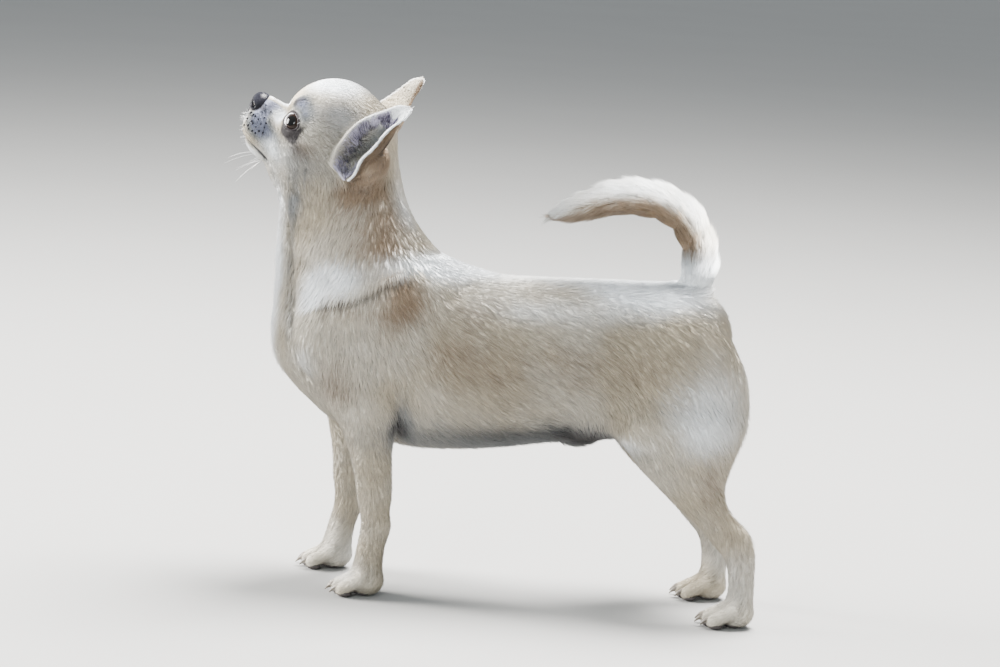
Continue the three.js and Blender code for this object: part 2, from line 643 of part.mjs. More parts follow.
for (const side of [1, -1]) {
  limb('front', side, -64, 28, FORE_LEAD, FORE_LEAN, PAW_HEIGHT.fore, foreBox(-side, 0),
    [-122, 14, 12], [-36, 54, 124], [5.4, 5, 7]);
  limb('hind', side, 154, 29, HIND_LEAD, 0, PAW_HEIGHT.hind, hindBox(-side, 0),
    [62, 4, 14], [172, 58, 138], [6.6, 5.4, 6.6]);
}

// The finished parts with their colours
const CREAM = 0xd9cdbb;
const parts = [
  ['torso', torso, CREAM],
  ['neck', collar, CREAM],
  ['head', head, CREAM],
  ['nose', nose, 0x2b2a2e],
  ['eye_left', eyes[1], 0x1d1512],
  ['eye_right', eyes[-1], 0x1d1512],
  ['ear_left', ears[1], 0xcbb9a2],
  ['ear_right', ears[-1], 0xcbb9a2],
  ['tail_base', tailBase, CREAM],
  ['tail_bend', tailBend, CREAM],
  ['tail_tip', tailTip, CREAM],
  ...Object.entries(limbs).map(([name, shape]) => [name, shape, CREAM]),
];

const group = new THREE.Group();
for (const [name, shape, colour] of parts) {
  const mesh = shape.getMesh();
  const geometry = new THREE.BufferGeometry();
  geometry.setAttribute('position', new THREE.BufferAttribute(new Float32Array(mesh.vertProperties), 3));
  geometry.setIndex(new THREE.BufferAttribute(new Uint32Array(mesh.triVerts), 1));
  geometry.translate(...PLACE);
  geometry.computeVertexNormals();
  const part = new THREE.Mesh(geometry, new THREE.MeshStandardMaterial({ color: colour, roughness: 0.8 }));
  part.name = name;
  group.add(part);
}
export default group;
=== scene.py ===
"""A life-size smooth-coated chihuahua that stands with its head raised and its tail over its back."""

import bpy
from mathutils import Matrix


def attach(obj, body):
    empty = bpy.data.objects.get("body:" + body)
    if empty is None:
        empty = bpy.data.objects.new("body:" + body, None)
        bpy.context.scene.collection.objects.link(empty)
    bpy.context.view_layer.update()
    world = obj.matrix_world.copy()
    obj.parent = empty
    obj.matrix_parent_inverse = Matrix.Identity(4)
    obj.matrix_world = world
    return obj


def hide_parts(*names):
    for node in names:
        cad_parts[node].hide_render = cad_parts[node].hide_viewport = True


bl_info = {
    "name": "Standing Chihuahua",
    "version": (1, 0, 0),
    "blender": (4, 5, 0),
    "location": "3D View > Sidebar > Dog",
    "description": "Builds a standing smooth-coated dog, from its skin to its claws, on a stage",
    "category": "Add Mesh",
}

import bpy
import numpy as np
from mathutils import Matrix, Vector

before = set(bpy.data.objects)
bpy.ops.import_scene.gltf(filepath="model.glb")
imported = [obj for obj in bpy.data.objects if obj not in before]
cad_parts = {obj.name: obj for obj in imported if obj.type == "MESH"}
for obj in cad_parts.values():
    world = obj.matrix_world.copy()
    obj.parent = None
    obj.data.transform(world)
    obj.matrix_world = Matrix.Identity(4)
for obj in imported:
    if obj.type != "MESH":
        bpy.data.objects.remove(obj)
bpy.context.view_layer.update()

# The dog faces -X, its left side is -Y and the floor is z = 0. Shapes are worked out in millimetres,
# over the tips of the coat, and are moved by PLACE and scaled to metres when they become meshes.
MM = 0.001
PLACE = np.array([0.0, 0.3, 0.0])

# How far a right leg stands ahead of the left one, and how much more to the millimetre further down
FORE_LEAD, FORE_LEAN = 19, 0.09
HIND_LEAD, HIND_LEAN = 17, 0

# Fore and hind paws: heel, lead, lean and distance from the middle. Toes: across the paw and ahead
PAWS = ((-64, FORE_LEAD, FORE_LEAN, 28), (154, HIND_LEAD, HIND_LEAN, 29))
PAW_REACH = 18
TOES = [[-9, 0.5], [-3.3, 4], [3.3, 4], [9, 0.5]]

# Torso along its length: height of the back, height of the belly, half width
TORSO_TOP = [[-125, 165], [-100, 186], [-70, 195], [-37, 196.5], [-17, 195], [0, 192.5], [33, 193.5],
             [57, 194.5], [81, 195], [97, 193.5], [110, 189.5], [122, 182], [132, 171]]
TORSO_LOW = [[-125, 128], [-115, 114], [-103, 102], [-85, 93], [-62, 88], [-45, 86], [-14, 88],
             [16, 92.5], [34, 96], [64, 99.5], [85, 103], [105, 112], [120, 126], [132, 140]]
TORSO_WIDE = [[-125, 22], [-105, 34], [-85, 39.5], [-60, 42], [-30, 43], [0, 41.5], [30, 38], [60, 35],
              [85, 36], [105, 37], [120, 33], [132, 20]]

# Neck up its height: throat, nape, half width
NECK_FRONT = [[125, -127], [140, -134], [152, -135.5], [167, -136.5], [221, -136.5], [237, -138],
              [250, -135], [262, -125]]
NECK_BACK = [[125, -40], [150, -35], [175, -25], [190, -18], [196, -27], [201, -37.5], [208, -45],
             [216, -52], [225, -58], [235, -62.5], [250, -66.5], [262, -69.5], [276, -72]]
NECK_WIDE = [[125, 30], [150, 36], [175, 38], [200, 36], [215, 33.5], [228, 31.5], [240, 30.5],
             [262, 29]]

# Legs up their height: front edge, back edge, distance from the middle, half width
FORE_FRONT = [[8, -79.5], [20, -78], [30, -76.5], [41, -75], [48, -75.5], [56, -78], [66, -79.5],
              [78, -82], [88, -85], [100, -89.5], [112, -95], [125, -104]]
FORE_BACK = [[8, -60], [15, -60], [27, -59.5], [34, -58], [42, -56], [50, -57.5], [59, -56.5],
             [72, -57], [88, -58], [100, -57.5], [105, -55.5], [125, -56]]
FORE_SIDE = [[8, 28], [30, 27.5], [60, 27], [100, 28], [125, 27]]
FORE_WIDE = [[8, 9.5], [27, 8.5], [41, 8.6], [50, 8.3], [66, 9], [88, 10.5], [105, 12.5], [125, 15]]
HIND_FRONT = [[8, 143], [17, 142.5], [28, 142], [39, 139.5], [47, 132], [57, 122.5], [68, 110],
              [79, 98], [89, 88], [100, 80], [106, 72], [115, 70], [128, 72]]
HIND_BACK = [[8, 158], [22, 158.5], [35, 158.3], [47, 158], [56, 154.5], [64, 146], [72, 139.5],
             [82, 137.5], [88, 138.5], [97, 141], [107, 143.5], [128, 146]]
HIND_SIDE = [[10, 29], [50, 28], [80, 30], [106, 29], [128, 27]]
HIND_WIDE = [[8, 8.5], [22, 7.5], [35, 7], [50, 7], [64, 7.5], [75, 9.5], [89, 12.5], [106, 15.5],
             [128, 17]]

# Heights at which the legs end inside the body
FORE_TOP, HIND_TOP = 124, 128

# Tail: points along its middle in the middle plane, each with its radius
TAIL_LINE = [[108, 182, 13.5], [111, 199, 12.4], [111.5, 214, 11.6], [104.5, 231, 11.7],
             [92, 240, 11.8], [77, 243.5, 11.9], [63, 242.8, 11.6], [51, 239, 10.4],
             [41, 235.2, 9.3], [31.5, 231.3, 7], [24, 229, 3.4]]
TAIL_HEART = np.array([66.0, 0.0, 214.0])

# The two edges of an ear, from root to tip: share of the length, then forward, out and up in the head
EAR_FRONT = [[0, -3, 34, -12], [0.09, 6, 32.2, -8], [0.25, 8.2, 32.4, 4], [0.47, 6, 29, 18],
             [0.63, 1.5, 30, 27], [0.8, -4.5, 34, 35.6], [0.94, -10.5, 39, 44], [1, -16, 41.8, 47]]
EAR_REAR = [[0, -7.5, 36, -11], [0.09, -8.6, 39.2, -4.7], [0.25, -7.7, 41.8, 4.8],
            [0.47, -10.2, 43.2, 15], [0.63, -11.3, 44, 24.6], [0.8, -13.9, 44, 33.3],
            [0.94, -18, 43.1, 41], [1, -18.4, 42.3, 46]]
EAR_DEPTH = [[0, 5], [0.09, 14], [0.25, 18], [0.47, 17.5], [0.63, 13.5], [0.8, 7.5], [0.94, 2.6],
             [1, 0.8]]
RIGHT_EAR_BOW = 4.5
EAR_WALL = 0.93

# Eyes in the head with the way they look, in degrees out and up. Mouth: height of its line at shares
# of the way to its corner, the place it goes round and how far round it goes
EYE_MIDDLE = np.array([33.0, 17.5, -2.0])
EYE_RADIUS = 8.6
EYE_OUT = 44
EYE_UP = 10
MOUTH = [[0, -23.2], [0.35, -26.4], [0.65, -29.2], [1, -31.5]]
MOUTH_HEART = 42.0
MOUTH_TURN = np.radians(112)

# Whisker roots on the left lip: turn from straight ahead in degrees, and height in the head
WHISKERS = [[24, -11.6], [32, -11.5], [37, -11.3], [45, -11.5], [50, -9.3], [39, -14.8], [43, -15.2],
            [54, -12.9], [60, -11.1], [38, -17.9], [51, -15.9], [63, -13.6], [42, -19.3], [49, -19.1],
            [55, -19.2], [59, -17.0], [66, -16.7], [45, -4.9], [30, -3.4], [28, -15.4], [30, -19.5]]

# The forms that share the body between them, and for each: depth of the coat, length and width of a
# tuft, tufts to the square millimetre and reach of a lock
TORSO, NECK, FORE, HIND, FORE_PAW, HIND_PAW, TAIL, HEAD, EAR = range(9)
DEPTH = np.array([1.7, 1.7, 1.1, 1.2, 0.8, 0.8, 3.2, 0.7, 0.2])
LENGTH = np.array([9.0, 8.6, 5.6, 6.6, 2.5, 2.5, 11.0, 3.9, 3.0])
WIDTH = np.array([0.64, 0.6, 0.46, 0.48, 0.38, 0.38, 0.56, 0.36, 0.34])
CROWD = np.array([1.5, 1.7, 1.7, 1.6, 2.2, 2.2, 3.4, 3.5, 3.2])
LOCK = np.array([2.0, 1.8, 1.6, 1.7, 1.4, 1.4, 2.3, 1.4, 1.3])


# Lines and forms

def curve(pairs):
    """A smooth line through a few pairs that never overshoots: cubics whose tangents are the harmonic
    means of the neighbouring slopes, kept as a table of 600 steps."""
    x, y = np.array(pairs, float).T
    slope = np.diff(y) / np.diff(x)
    product = slope[:-1] * slope[1:]
    total = np.where(product > 0, slope[:-1] + slope[1:], 1)
    inner = np.where(product > 0, 2 * product / total, 0)
    tangent = np.concatenate([slope[:1], inner, slope[-1:]])
    at = np.linspace(x[0], x[-1], 600)
    i = np.clip(np.searchsorted(x, at, side="right") - 1, 0, len(x) - 2)
    length = x[i + 1] - x[i]
    t = (at - x[i]) / length
    value = y[i] + (y[i + 1] - y[i]) * t * t * (3 - 2 * t)
    value += length * (t * (1 - t) ** 2 * tangent[i] + t * t * (t - 1) * tangent[i + 1])
    return lambda where: np.interp(where, at, value)


torso_top, torso_low, torso_wide = curve(TORSO_TOP), curve(TORSO_LOW), curve(TORSO_WIDE)
neck_front, neck_back, neck_wide = curve(NECK_FRONT), curve(NECK_BACK), curve(NECK_WIDE)
fore_lines = [curve(pairs) for pairs in (FORE_FRONT, FORE_BACK, FORE_SIDE, FORE_WIDE)]
hind_lines = [curve(pairs) for pairs in (HIND_FRONT, HIND_BACK, HIND_SIDE, HIND_WIDE)]
mouth_height = curve(MOUTH)


def join(a, b, soft):
    """The lower of two fields, rounded where they differ by less than soft."""
    near = np.maximum(soft - np.abs(a - b), 0) / soft
    return np.minimum(a, b) - near * near * soft / 4


def clip(a, b, soft):
    """The higher of two fields, rounded in the same way."""
    return -join(-a, -b, soft)


def smooth_step(x):
    """0 below 0, 1 above 1, and t t (3 - 2 t) between."""
    t = np.clip(x, 0, 1)
    return t * t * (3 - 2 * t)


def length_of(v):
    """Length of each vector in an array."""
    return np.sqrt((v * v).sum(-1))


def unit(v):
    """Each vector at length one."""
    return v / np.maximum(length_of(v), 1e-9)[..., None]


def folded(p):
    """Places with the sign of y dropped, so that one side stands for both."""
    return np.stack([p[:, 0], np.abs(p[:, 1]), p[:, 2]], 1)


def ball(p, middle, radii):
    """About the distance to an ellipsoid: reach (reach - 1) over the length of its slope."""
    q = (p - np.array(middle, float)) / np.array(radii, float)
    reach = length_of(q)
    return reach * (reach - 1) / np.maximum(length_of(q / np.array(radii, float)), 1e-9)


def oval(a, b, half_a, half_b, power):
    """A rounded slice: (|a/half_a|^power + |b/half_b|^power)^(1/power) - 1, times the smaller half."""
    total = np.abs(a / half_a) ** power + np.abs(b / half_b) ** power
    return (total ** (1 / power) - 1) * np.minimum(half_a, half_b)


def bone(p, a, b, radius_a, radius_b):
    """Distance to the segment from a to b, less a radius that goes from one value to the other."""
    a, b = np.array(a, float), np.array(b, float)
    axis = b - a
    t = np.clip((p - a) @ axis / (axis @ axis), 0, 1)
    return length_of(p - a - t[:, None] * axis) - radius_a - (radius_b - radius_a) * t


def near_line(p, points, reach):
    """Which places are in the box round a line of points, and how far those are from the line."""
    points = np.array(points, float)
    near = np.flatnonzero(np.all((p > points.min(0) - reach) & (p < points.max(0) + reach), axis=1))
    return near, np.min([bone(p[near], a, b, 0, 0) for a, b in zip(points[:-1], points[1:])], 0)


def turned(vector, axis, angle):
    """A vector turned about a unit axis by the right-hand rule."""
    across = np.cross(axis, vector) * np.sin(angle)
    return vector * np.cos(angle) + across + axis * (axis @ vector) * (1 - np.cos(angle))


# The head's own frame: forward along the muzzle, out to the left, up through the crown
HEAD_MIDDLE = np.array([-95.0, 0.0, 262.0])
HEAD_PITCH, HEAD_ROLL, HEAD_TURN = np.radians([27.5, 5, 5.5])
head_forward = np.array([-np.cos(HEAD_PITCH), 0, np.sin(HEAD_PITCH)])
head_left = turned(np.array([0.0, -1.0, 0.0]), head_forward, -HEAD_ROLL)
head_up = np.cross(head_forward, head_left)
HEAD_AXES = np.stack([turned(v, head_up, HEAD_TURN) for v in (head_forward, head_left, head_up)])


def to_head(p):
    """Places in the head's own frame."""
    return (p - HEAD_MIDDLE) @ HEAD_AXES.T


def from_head(q):
    """Places in the head's frame, brought back to the model's."""
    return HEAD_MIDDLE + np.asarray(q, float) @ HEAD_AXES


# Parts of the body

def lead_at(lead, lean, y, z):
    """How far forward a right leg stands: lead, plus lean for each millimetre below 100."""
    return -smooth_step((y + 8) / 16) * (lead + lean * (100 - np.minimum(z, 100)))


def leg_form(p, lines, lead, lean, top):
    """Oval slices between a leg's front and back edges, cut off at the foot and tapered at the top."""
    x, y, z = p.T
    front, back = lines[0](z), lines[1](z)
    along = x - lead_at(lead, lean, y, z) - (front + back) / 2
    across = np.abs(y) - lines[2](z)
    slice_ = oval(along, across, (back - front) / 2, lines[3](z), 2.1)
    return clip(clip(slice_, z - top, 16), 6 - z, 4)


def paw_form(p, heel, lead, lean, side):
    """A heel ball with four toes, each a bone from its knuckle to its tip."""
    x = p[:, 0] - lead_at(lead, lean, p[:, 1], 8.0) - heel
    q = np.stack([x, np.abs(p[:, 1]) - side, p[:, 2]], 1)
    form = ball(q, [-6, 0, 8], [11, 9.5, 9])
    for across, ahead in TOES:
        knuckle = [-8 - ahead * 0.6, across * 0.8, 10.4]
        tip = [-PAW_REACH - ahead, across, 4.7]
        form = join(form, bone(q, knuckle, tip, 4.8, 4.4), 1.5)
    return form


def toe_gaps(p):
    """The three gaps between the toes of each paw: exp(-(distance across / 0.9 mm)^2), faded out
    at the heel."""
    line = np.zeros(len(p))
    for heel, lead, lean, side in PAWS:
        ahead = heel - (p[:, 0] - lead_at(lead, lean, p[:, 1], 8.0))
        for gap in (-6.1, 0.0, 6.1):
            across = np.exp(-((np.abs(p[:, 1]) - side - gap) / 0.9) ** 2)
            line = np.maximum(line, across * smooth_step((ahead - 9) / 5) * (ahead < 30))
    return line * smooth_step((17 - p[:, 2]) / 4)


def tail_form(p):
    """Bones from point to point along the tail."""
    form = np.full(len(p), 1e3)
    for (ax, az, ar), (bx, bz, br) in zip(TAIL_LINE[:-1], TAIL_LINE[1:]):
        form = join(form, bone(p, [ax, 0, az], [bx, 0, bz], ar, br), 0.8)
    return form


def head_form(q):
    """Skull, cheeks, jaw, muzzle, lips, chin and brows as joined ellipsoids in the head's frame."""
    q = folded(q)
    form = ball(q, [13, 0, 3], [31, 31.5, 29.5])
    form = join(form, ball(q, [-4, 0, 3], [19, 25, 25]), 6)
    form = join(form, ball(q, [16, 18, -13], [21, 14, 18]), 9)
    form = join(form, ball(q, [20, 0, -26], [23, 19, 18.5]), 9)
    form = join(form, ball(q, [33, 10.5, -14], [14, 11, 13]), 6)
    muzzle = bone(q, [34, 0, -10.5], [53.5, 0, -10.5], 10.3, 9.6)
    muzzle = join(muzzle, ball(q, [49.5, 7, -17.5], [12.6, 8.6, 11.5]), 4)
    muzzle = join(muzzle, ball(q, [43, 0, -27.5], [13.5, 10.5, 7.5]), 3)
    form = join(form, muzzle, 3.5)
    bridge = clip(bone(q, [40, 0, -8.8], [60, 0, -8.2], 9.3, 9.2), q[:, 0] - 57.2, 2.5)
    form = join(form, bridge, 2)
    form = join(form, ball(q, [34, 13, 8], [8, 9.5, 7]), 4)
    return join(form, ball(q, [-16, 24, 1], [8.5, 11, 14]), 7)


def eye_frame(side):
    """The middle of one eye and the turn from the head's frame to the one that looks along its gaze."""
    out, up = np.radians([EYE_OUT * side, -EYE_UP])
    about_z = np.array([[np.cos(out), -np.sin(out), 0], [np.sin(out), np.cos(out), 0], [0, 0, 1]])
    about_y = np.array([[np.cos(up), 0, np.sin(up)], [0, 1, 0], [-np.sin(up), 0, np.cos(up)]])
    return EYE_MIDDLE * [1, side, 1], about_z @ about_y


def lid_opening(gaze, side):
    """The slot between the lids: an ellipsoid round the gaze, tilted so its outer corner is higher."""
    tilt = np.radians(14 * side)
    y = gaze[:, 1] * np.cos(tilt) - gaze[:, 2] * np.sin(tilt)
    z = gaze[:, 1] * np.sin(tilt) + gaze[:, 2] * np.cos(tilt)
    return ball(np.stack([gaze[:, 0], y, z - 0.7], 1), [7.48, 0, 0], [11, 6.5, 4.6])


def ear_tables(side):
    """Lines along one ear: its middle, the way across and the way it opens, half width and depth."""
    u = np.linspace(0, 1, 240)
    bow = RIGHT_EAR_BOW * np.sin(np.pi * u) * (side < 0)
    edges = []
    for pairs in (EAR_FRONT, EAR_REAR):
        s, l, t = [curve([[row[0], row[i]] for row in pairs])(u) for i in (1, 2, 3)]
        edges.append(np.stack([s - 0.7 * bow, l * side, t - 0.7 * bow], 1))
    front, rear = edges
    middle = (front + rear) / 2
    axis = unit(middle[-1] - middle[0])
    across = unit(rear - front)
    opens = unit(np.cross(axis, across)) * -side
    rise = (middle - middle[0]) @ axis
    return {"u": u, "front": front, "rear": rear, "middle": middle, "axis": axis, "across": across,
            "opens": opens, "half": length_of(rear - front) / 2, "deep": curve(EAR_DEPTH)(u),
            "rise": rise, "tilt": across @ axis}


EARS = {side: ear_tables(side) for side in (1, -1)}


def along(table, key, u):
    """One of an ear's lines, read at shares of its length."""
    value = table[key]
    if value.ndim == 1:
        return np.interp(u, table["u"], value)
    return np.stack([np.interp(u, table["u"], value[:, i]) for i in range(3)], -1)


def ear_place(q, side):
    """Where a place is in an ear: share of the length, how far across, how far behind the opening, and
    how far past either end."""
    table = EARS[side]
    rise = (q - table["middle"][0]) @ table["axis"]
    u = np.interp(rise, table["rise"], table["u"])
    for _ in range(4):
        across = ((q - along(table, "middle", u)) * along(table, "across", u)).sum(1)
        level = rise - across * along(table, "tilt", u)
        u = np.interp(level, table["rise"], table["u"])
    behind = -((q - along(table, "middle", u)) * along(table, "opens", u)).sum(1)
    past = np.maximum(level - table["rise"][-1], -level)
    return u, across, behind, past


def in_ear(q, side):
    """Where places are in an ear: share of its length, of its half width across and of its depth
    behind the opening, then the half width in millimetres and the reach of both shares together."""
    u, across, behind, _ = ear_place(q, side)
    half, deep = along(EARS[side], "half", u), along(EARS[side], "deep", u)
    return u, across / half, behind / deep, half, np.hypot(across / half, behind / deep)


def ear_sizes(side, u):
    """Half width and depth of an ear at shares of its length, outside and then inside its wall."""
    half, deep = along(EARS[side], "half", u), along(EARS[side], "deep", u)
    inside = np.maximum(deep - 1.1 - 1.2 * (1 - u), 0.3 * deep) * np.minimum(1, 0.15 + u / 0.16)
    return half, deep, np.maximum(half - 1.2, 0.35 * half), inside


def ear_inside(side, u, turn, lift):
    """Places in an ear's hollow: at a turn round its half oval from the front edge, lifted off it."""
    u = np.clip(u, 0, 1)
    _, _, half, deep = ear_sizes(side, u)
    half, deep = np.maximum(half - lift, 0.3), np.maximum(deep - lift, 0.1)
    across = along(EARS[side], "across", u) * (-half * np.cos(turn))[:, None]
    return along(EARS[side], "middle", u) + across - along(EARS[side], "opens", u) * (
        deep * np.maximum(np.sin(turn), 0))[:, None]


def ear_form(q, side):
    """The shell between two half ovals, and the hollow in front of it as a field of its own."""
    u, across, behind, past = ear_place(q, side)
    half, deep, inner_half, inside = ear_sizes(side, u)
    outer = oval_2d(across, behind, half, deep)
    inner = oval_2d(across, np.maximum(behind + 0.5, 0), inner_half, inside + 0.5)
    shell = clip(clip(outer, -inner, 0.5), -behind - 0.1, 0.5)
    shell = clip(shell, past, 0.8)
    hollow = np.maximum(np.maximum(inner, -behind - 7), past + 0.8)
    return shell, hollow


def oval_2d(a, b, half_a, half_b):
    """About the distance to an oval in a plane, as ball gives for an ellipsoid."""
    reach = np.hypot(a / half_a, b / half_b)
    return reach * (reach - 1) / np.maximum(np.hypot(a / half_a ** 2, b / half_b ** 2), 1e-9)


def coat_form(p):
    """The outside of the coat as one field, and the bare field of each named form. Ears are apart."""
    mirrored = folded(p)
    x, y, z = p.T
    top, low = torso_top(x), torso_low(x)
    trunk = oval(z - (top + low) / 2, y, (top - low) / 2, torso_wide(x), 2.25)
    trunk = join(clip(trunk, np.abs(x - 2) - 126, 8), ball(p, [-110, 0, 149], [23.5, 30, 36]), 9)
    front, back = neck_front(z), neck_back(z)
    neck = oval(x - (front + back) / 2, y, (back - front) / 2, neck_wide(z), 2.15)
    neck = clip(neck, np.abs(z - 197) - 68, 8)
    form = join(trunk, neck, 8)
    arm = mirrored - lead_at(FORE_LEAD * 0.7, 0, y, 100.0)[:, None] * [1, 0, 0]
    haunch = mirrored - lead_at(HIND_LEAD * 0.5, 0, y, 100.0)[:, None] * [1, 0, 0]
    masses = [(bone(mirrored, [-52, 20, 178], [-104, 24, 152], 18, 15), 14),
              (bone(arm, [-102, 24, 147], [-70, 27, 114], 15, 13), 12),
              (ball(p, [104, 0, 161], [30, 32, 32]), 12),
              (ball(haunch, [107, 23, 132], [40, 17, 46]), 12)]
    torso = trunk
    for mass, soft in masses:
        form = join(form, mass, soft)
        torso = np.minimum(torso, mass)
    fore = leg_form(p, fore_lines, FORE_LEAD, FORE_LEAN, FORE_TOP)
    hind = leg_form(p, hind_lines, HIND_LEAD, HIND_LEAN, HIND_TOP)
    fore_paw, hind_paw = [paw_form(p, *paw) for paw in PAWS]
    sheath = ball(p, [46, 0, 98], [12, 5.5, 5.2])
    tail = tail_form(p)
    head = head_form(to_head(p))
    for part, soft in ((fore, 7), (hind, 7), (fore_paw, 4), (hind_paw, 4), (sheath, 5), (tail, 7),
                       (head, 8)):
        form = join(form, part, soft)
    torso = np.minimum(torso, sheath)
    return form, [torso, neck, fore, hind, fore_paw, hind_paw, tail, head]


def shares(parts):
    """How much each named form counts at a place: exp(-field / 3 mm), made to add up to one."""
    stack = np.stack(parts, 1)
    weight = np.exp(-(stack - stack.min(1, keepdims=True)) / 3.0)
    return weight / weight.sum(1, keepdims=True)


# Lower edge of the white patch on the side of the neck: place along the body, height
PATCH_EDGE = [[-125, 166], [-112, 169.8], [-102, 173.4], [-93, 175.8], [-84, 178.8], [-75, 183.2],
              [-67, 188.2], [-59, 192], [-50, 196]]
patch_edge = curve(PATCH_EDGE)

# Creases in the skin: points in millimetres for the left side, then width and depth. A fold that hangs
# over its crease has a depth below zero.
CREASES = [
    ([[-102, 36, 171], [-93, 37, 173], [-84, 38, 175.5], [-75, 38, 180], [-67, 37, 185],
      [-59, 35, 189]], 4.0, 0.7),
    ([[-135, 10, 232], [-130, 16, 223], [-125, 21, 205], [-123, 23, 188], [-121, 27, 166],
      [-116, 34, 145], [-113, 30, 131]], 2.3, 1.9),
    ([[-112, 36, 139], [-108, 38, 148]], 9.0, -1.9),
    ([[-92, 40, 152], [-86, 41, 134], [-82, 39, 118]], 7.0, 1.1),
    ([[-45, 43, 165], [-50, 42, 140], [-52, 40, 120]], 9.0, 1.5),
    ([[70, 36, 165], [66, 36, 140], [62, 33, 118]], 14.0, 1.7),
    ([[-54, 39, 129], [-55, 38, 120], [-56, 35, 113], [-57, 31, 104], [-58, 18, 93]], 3.6, 2.2),
    ([[72, 33, 112], [78, 36, 126], [80, 37, 142]], 8.0, 1.2),
    ([[-92, 30, 243], [-83, 31, 246], [-76, 31, 250]], 2.0, 1.2),
    ([[-95, 30, 238], [-86, 30, 239.5], [-77, 30, 243], [-69, 22, 246]], 2.2, 1.1),
    ([[-97, 30, 231], [-86, 30, 232], [-76, 30, 235], [-67, 22, 238]], 2.4, 0.9),
    ([[-130, 18, 238], [-119, 25, 230], [-106, 29, 223]], 3.4, 0.9),
]


def crease_lift(p):
    """How far creases press the skin in: the sum of depth times exp(-(distance / width)^2) over them
    and the gaps between the toes, less the fold of the neck, which ends in a step down along the
    lower edge of its white patch."""
    lift = np.zeros(len(p))
    q = folded(p)
    for points, width, depth in CREASES:
        near, away = near_line(q, points, 2.6 * width)
        lift[near] += depth * np.exp(-(away / width) ** 2)
    over = q[:, 2] - patch_edge(q[:, 0])
    fold = smooth_step((over + 1.2) / 3.4) * np.exp(-(np.maximum(over - 1.6, 0) / 9) ** 2)
    fold *= smooth_step((q[:, 0] + 112) / 12) * smooth_step((-52 - q[:, 0]) / 12)
    return lift - fold * smooth_step((q[:, 1] - 18) / 8) + toe_gaps(p)


def mouth_way(q):
    """How far round the muzzle places are: 0 straight ahead and 1 at the corners of the mouth."""
    return np.abs(np.arctan2(q[:, 1], q[:, 0] - MOUTH_HEART)) / MOUTH_TURN


def mouth_fade(way):
    """How strong the line of the mouth is: 1, and down to 0 past its corners."""
    return smooth_step((1.06 - way) * 8)


def skin_form(p):
    """The skin as one field: the coat's outside moved in by the coat's depth, with creases, lids, the
    hollows for the eyes, the line of the mouth and the ears, and the share of each named form."""
    form, parts = coat_form(p)
    parts.append(np.full(len(p), 50.0))
    q = to_head(p)
    form = form + crease_lift(p)
    face = length_of(q - [20, 0, 0]) < 75
    ears = {}
    if face.any():
        qf = q[face]
        for side in (1, -1):
            near = np.abs(qf[:, 1] - 34 * side) < 24
            shell = np.full(len(qf), 50.0)
            hollow = np.full(len(qf), 50.0)
            if near.any():
                shell[near], hollow[near] = ear_form(qf[near], side)
            ears[side] = (shell, hollow)
            parts[EAR][face] = np.minimum(parts[EAR][face], shell)
    share = shares(parts)
    muzzle = smooth_step((q[:, 0] - 36) / 10) * share[:, HEAD]
    flesh = share[:, :EAR]
    form = form + (flesh @ DEPTH[:EAR]) / np.maximum(flesh.sum(1), 0.05) - 0.5 * muzzle
    if face.any():
        part = form[face]
        for side in (1, -1):
            middle, turn = eye_frame(side)
            gaze = (qf - middle) @ turn
            part = join(part, length_of(gaze) - EYE_RADIUS - 1.1, 2.5)
            part = clip(part, EYE_RADIUS - 0.1 - length_of(gaze), 0.4)
            part = clip(part, -lid_opening(gaze, side), 1.0)
        way = mouth_way(qf)
        apart = np.abs(qf[:, 2] - mouth_height(way))
        fade = mouth_fade(way) * (qf[:, 2] < 0)
        part = part + 1.3 * np.exp(-apart ** 2) * fade
        lip = (qf[:, 2] - mouth_height(way)) / 3.2
        part = part - 0.5 * np.exp(-(lip - 1) ** 2) * fade * smooth_step((way - 0.15) * 4)
        for side in (1, -1):
            shell, hollow = ears[side]
            part = clip(part, -hollow, 1.2)
            part = join(part, shell, 2.2)
        form[face] = part
    return form, share


def slope(field, p, reach=0.06):
    """The field's gradient by central differences."""
    result = np.empty_like(p)
    for i in range(3):
        step = np.zeros(3)
        step[i] = reach
        result[:, i] = (field(p + step) - field(p - step)) / (2 * reach)
    return result


def settle(field, p, level=0.0, turns=2):
    """Moves places along the gradient until the field there has the wanted value."""
    for _ in range(turns):
        g = slope(field, p)
        move = np.clip(field(p) - level, -2.5, 2.5) / np.maximum((g * g).sum(1), 0.25)
        p = p - move[:, None] * g
    return p


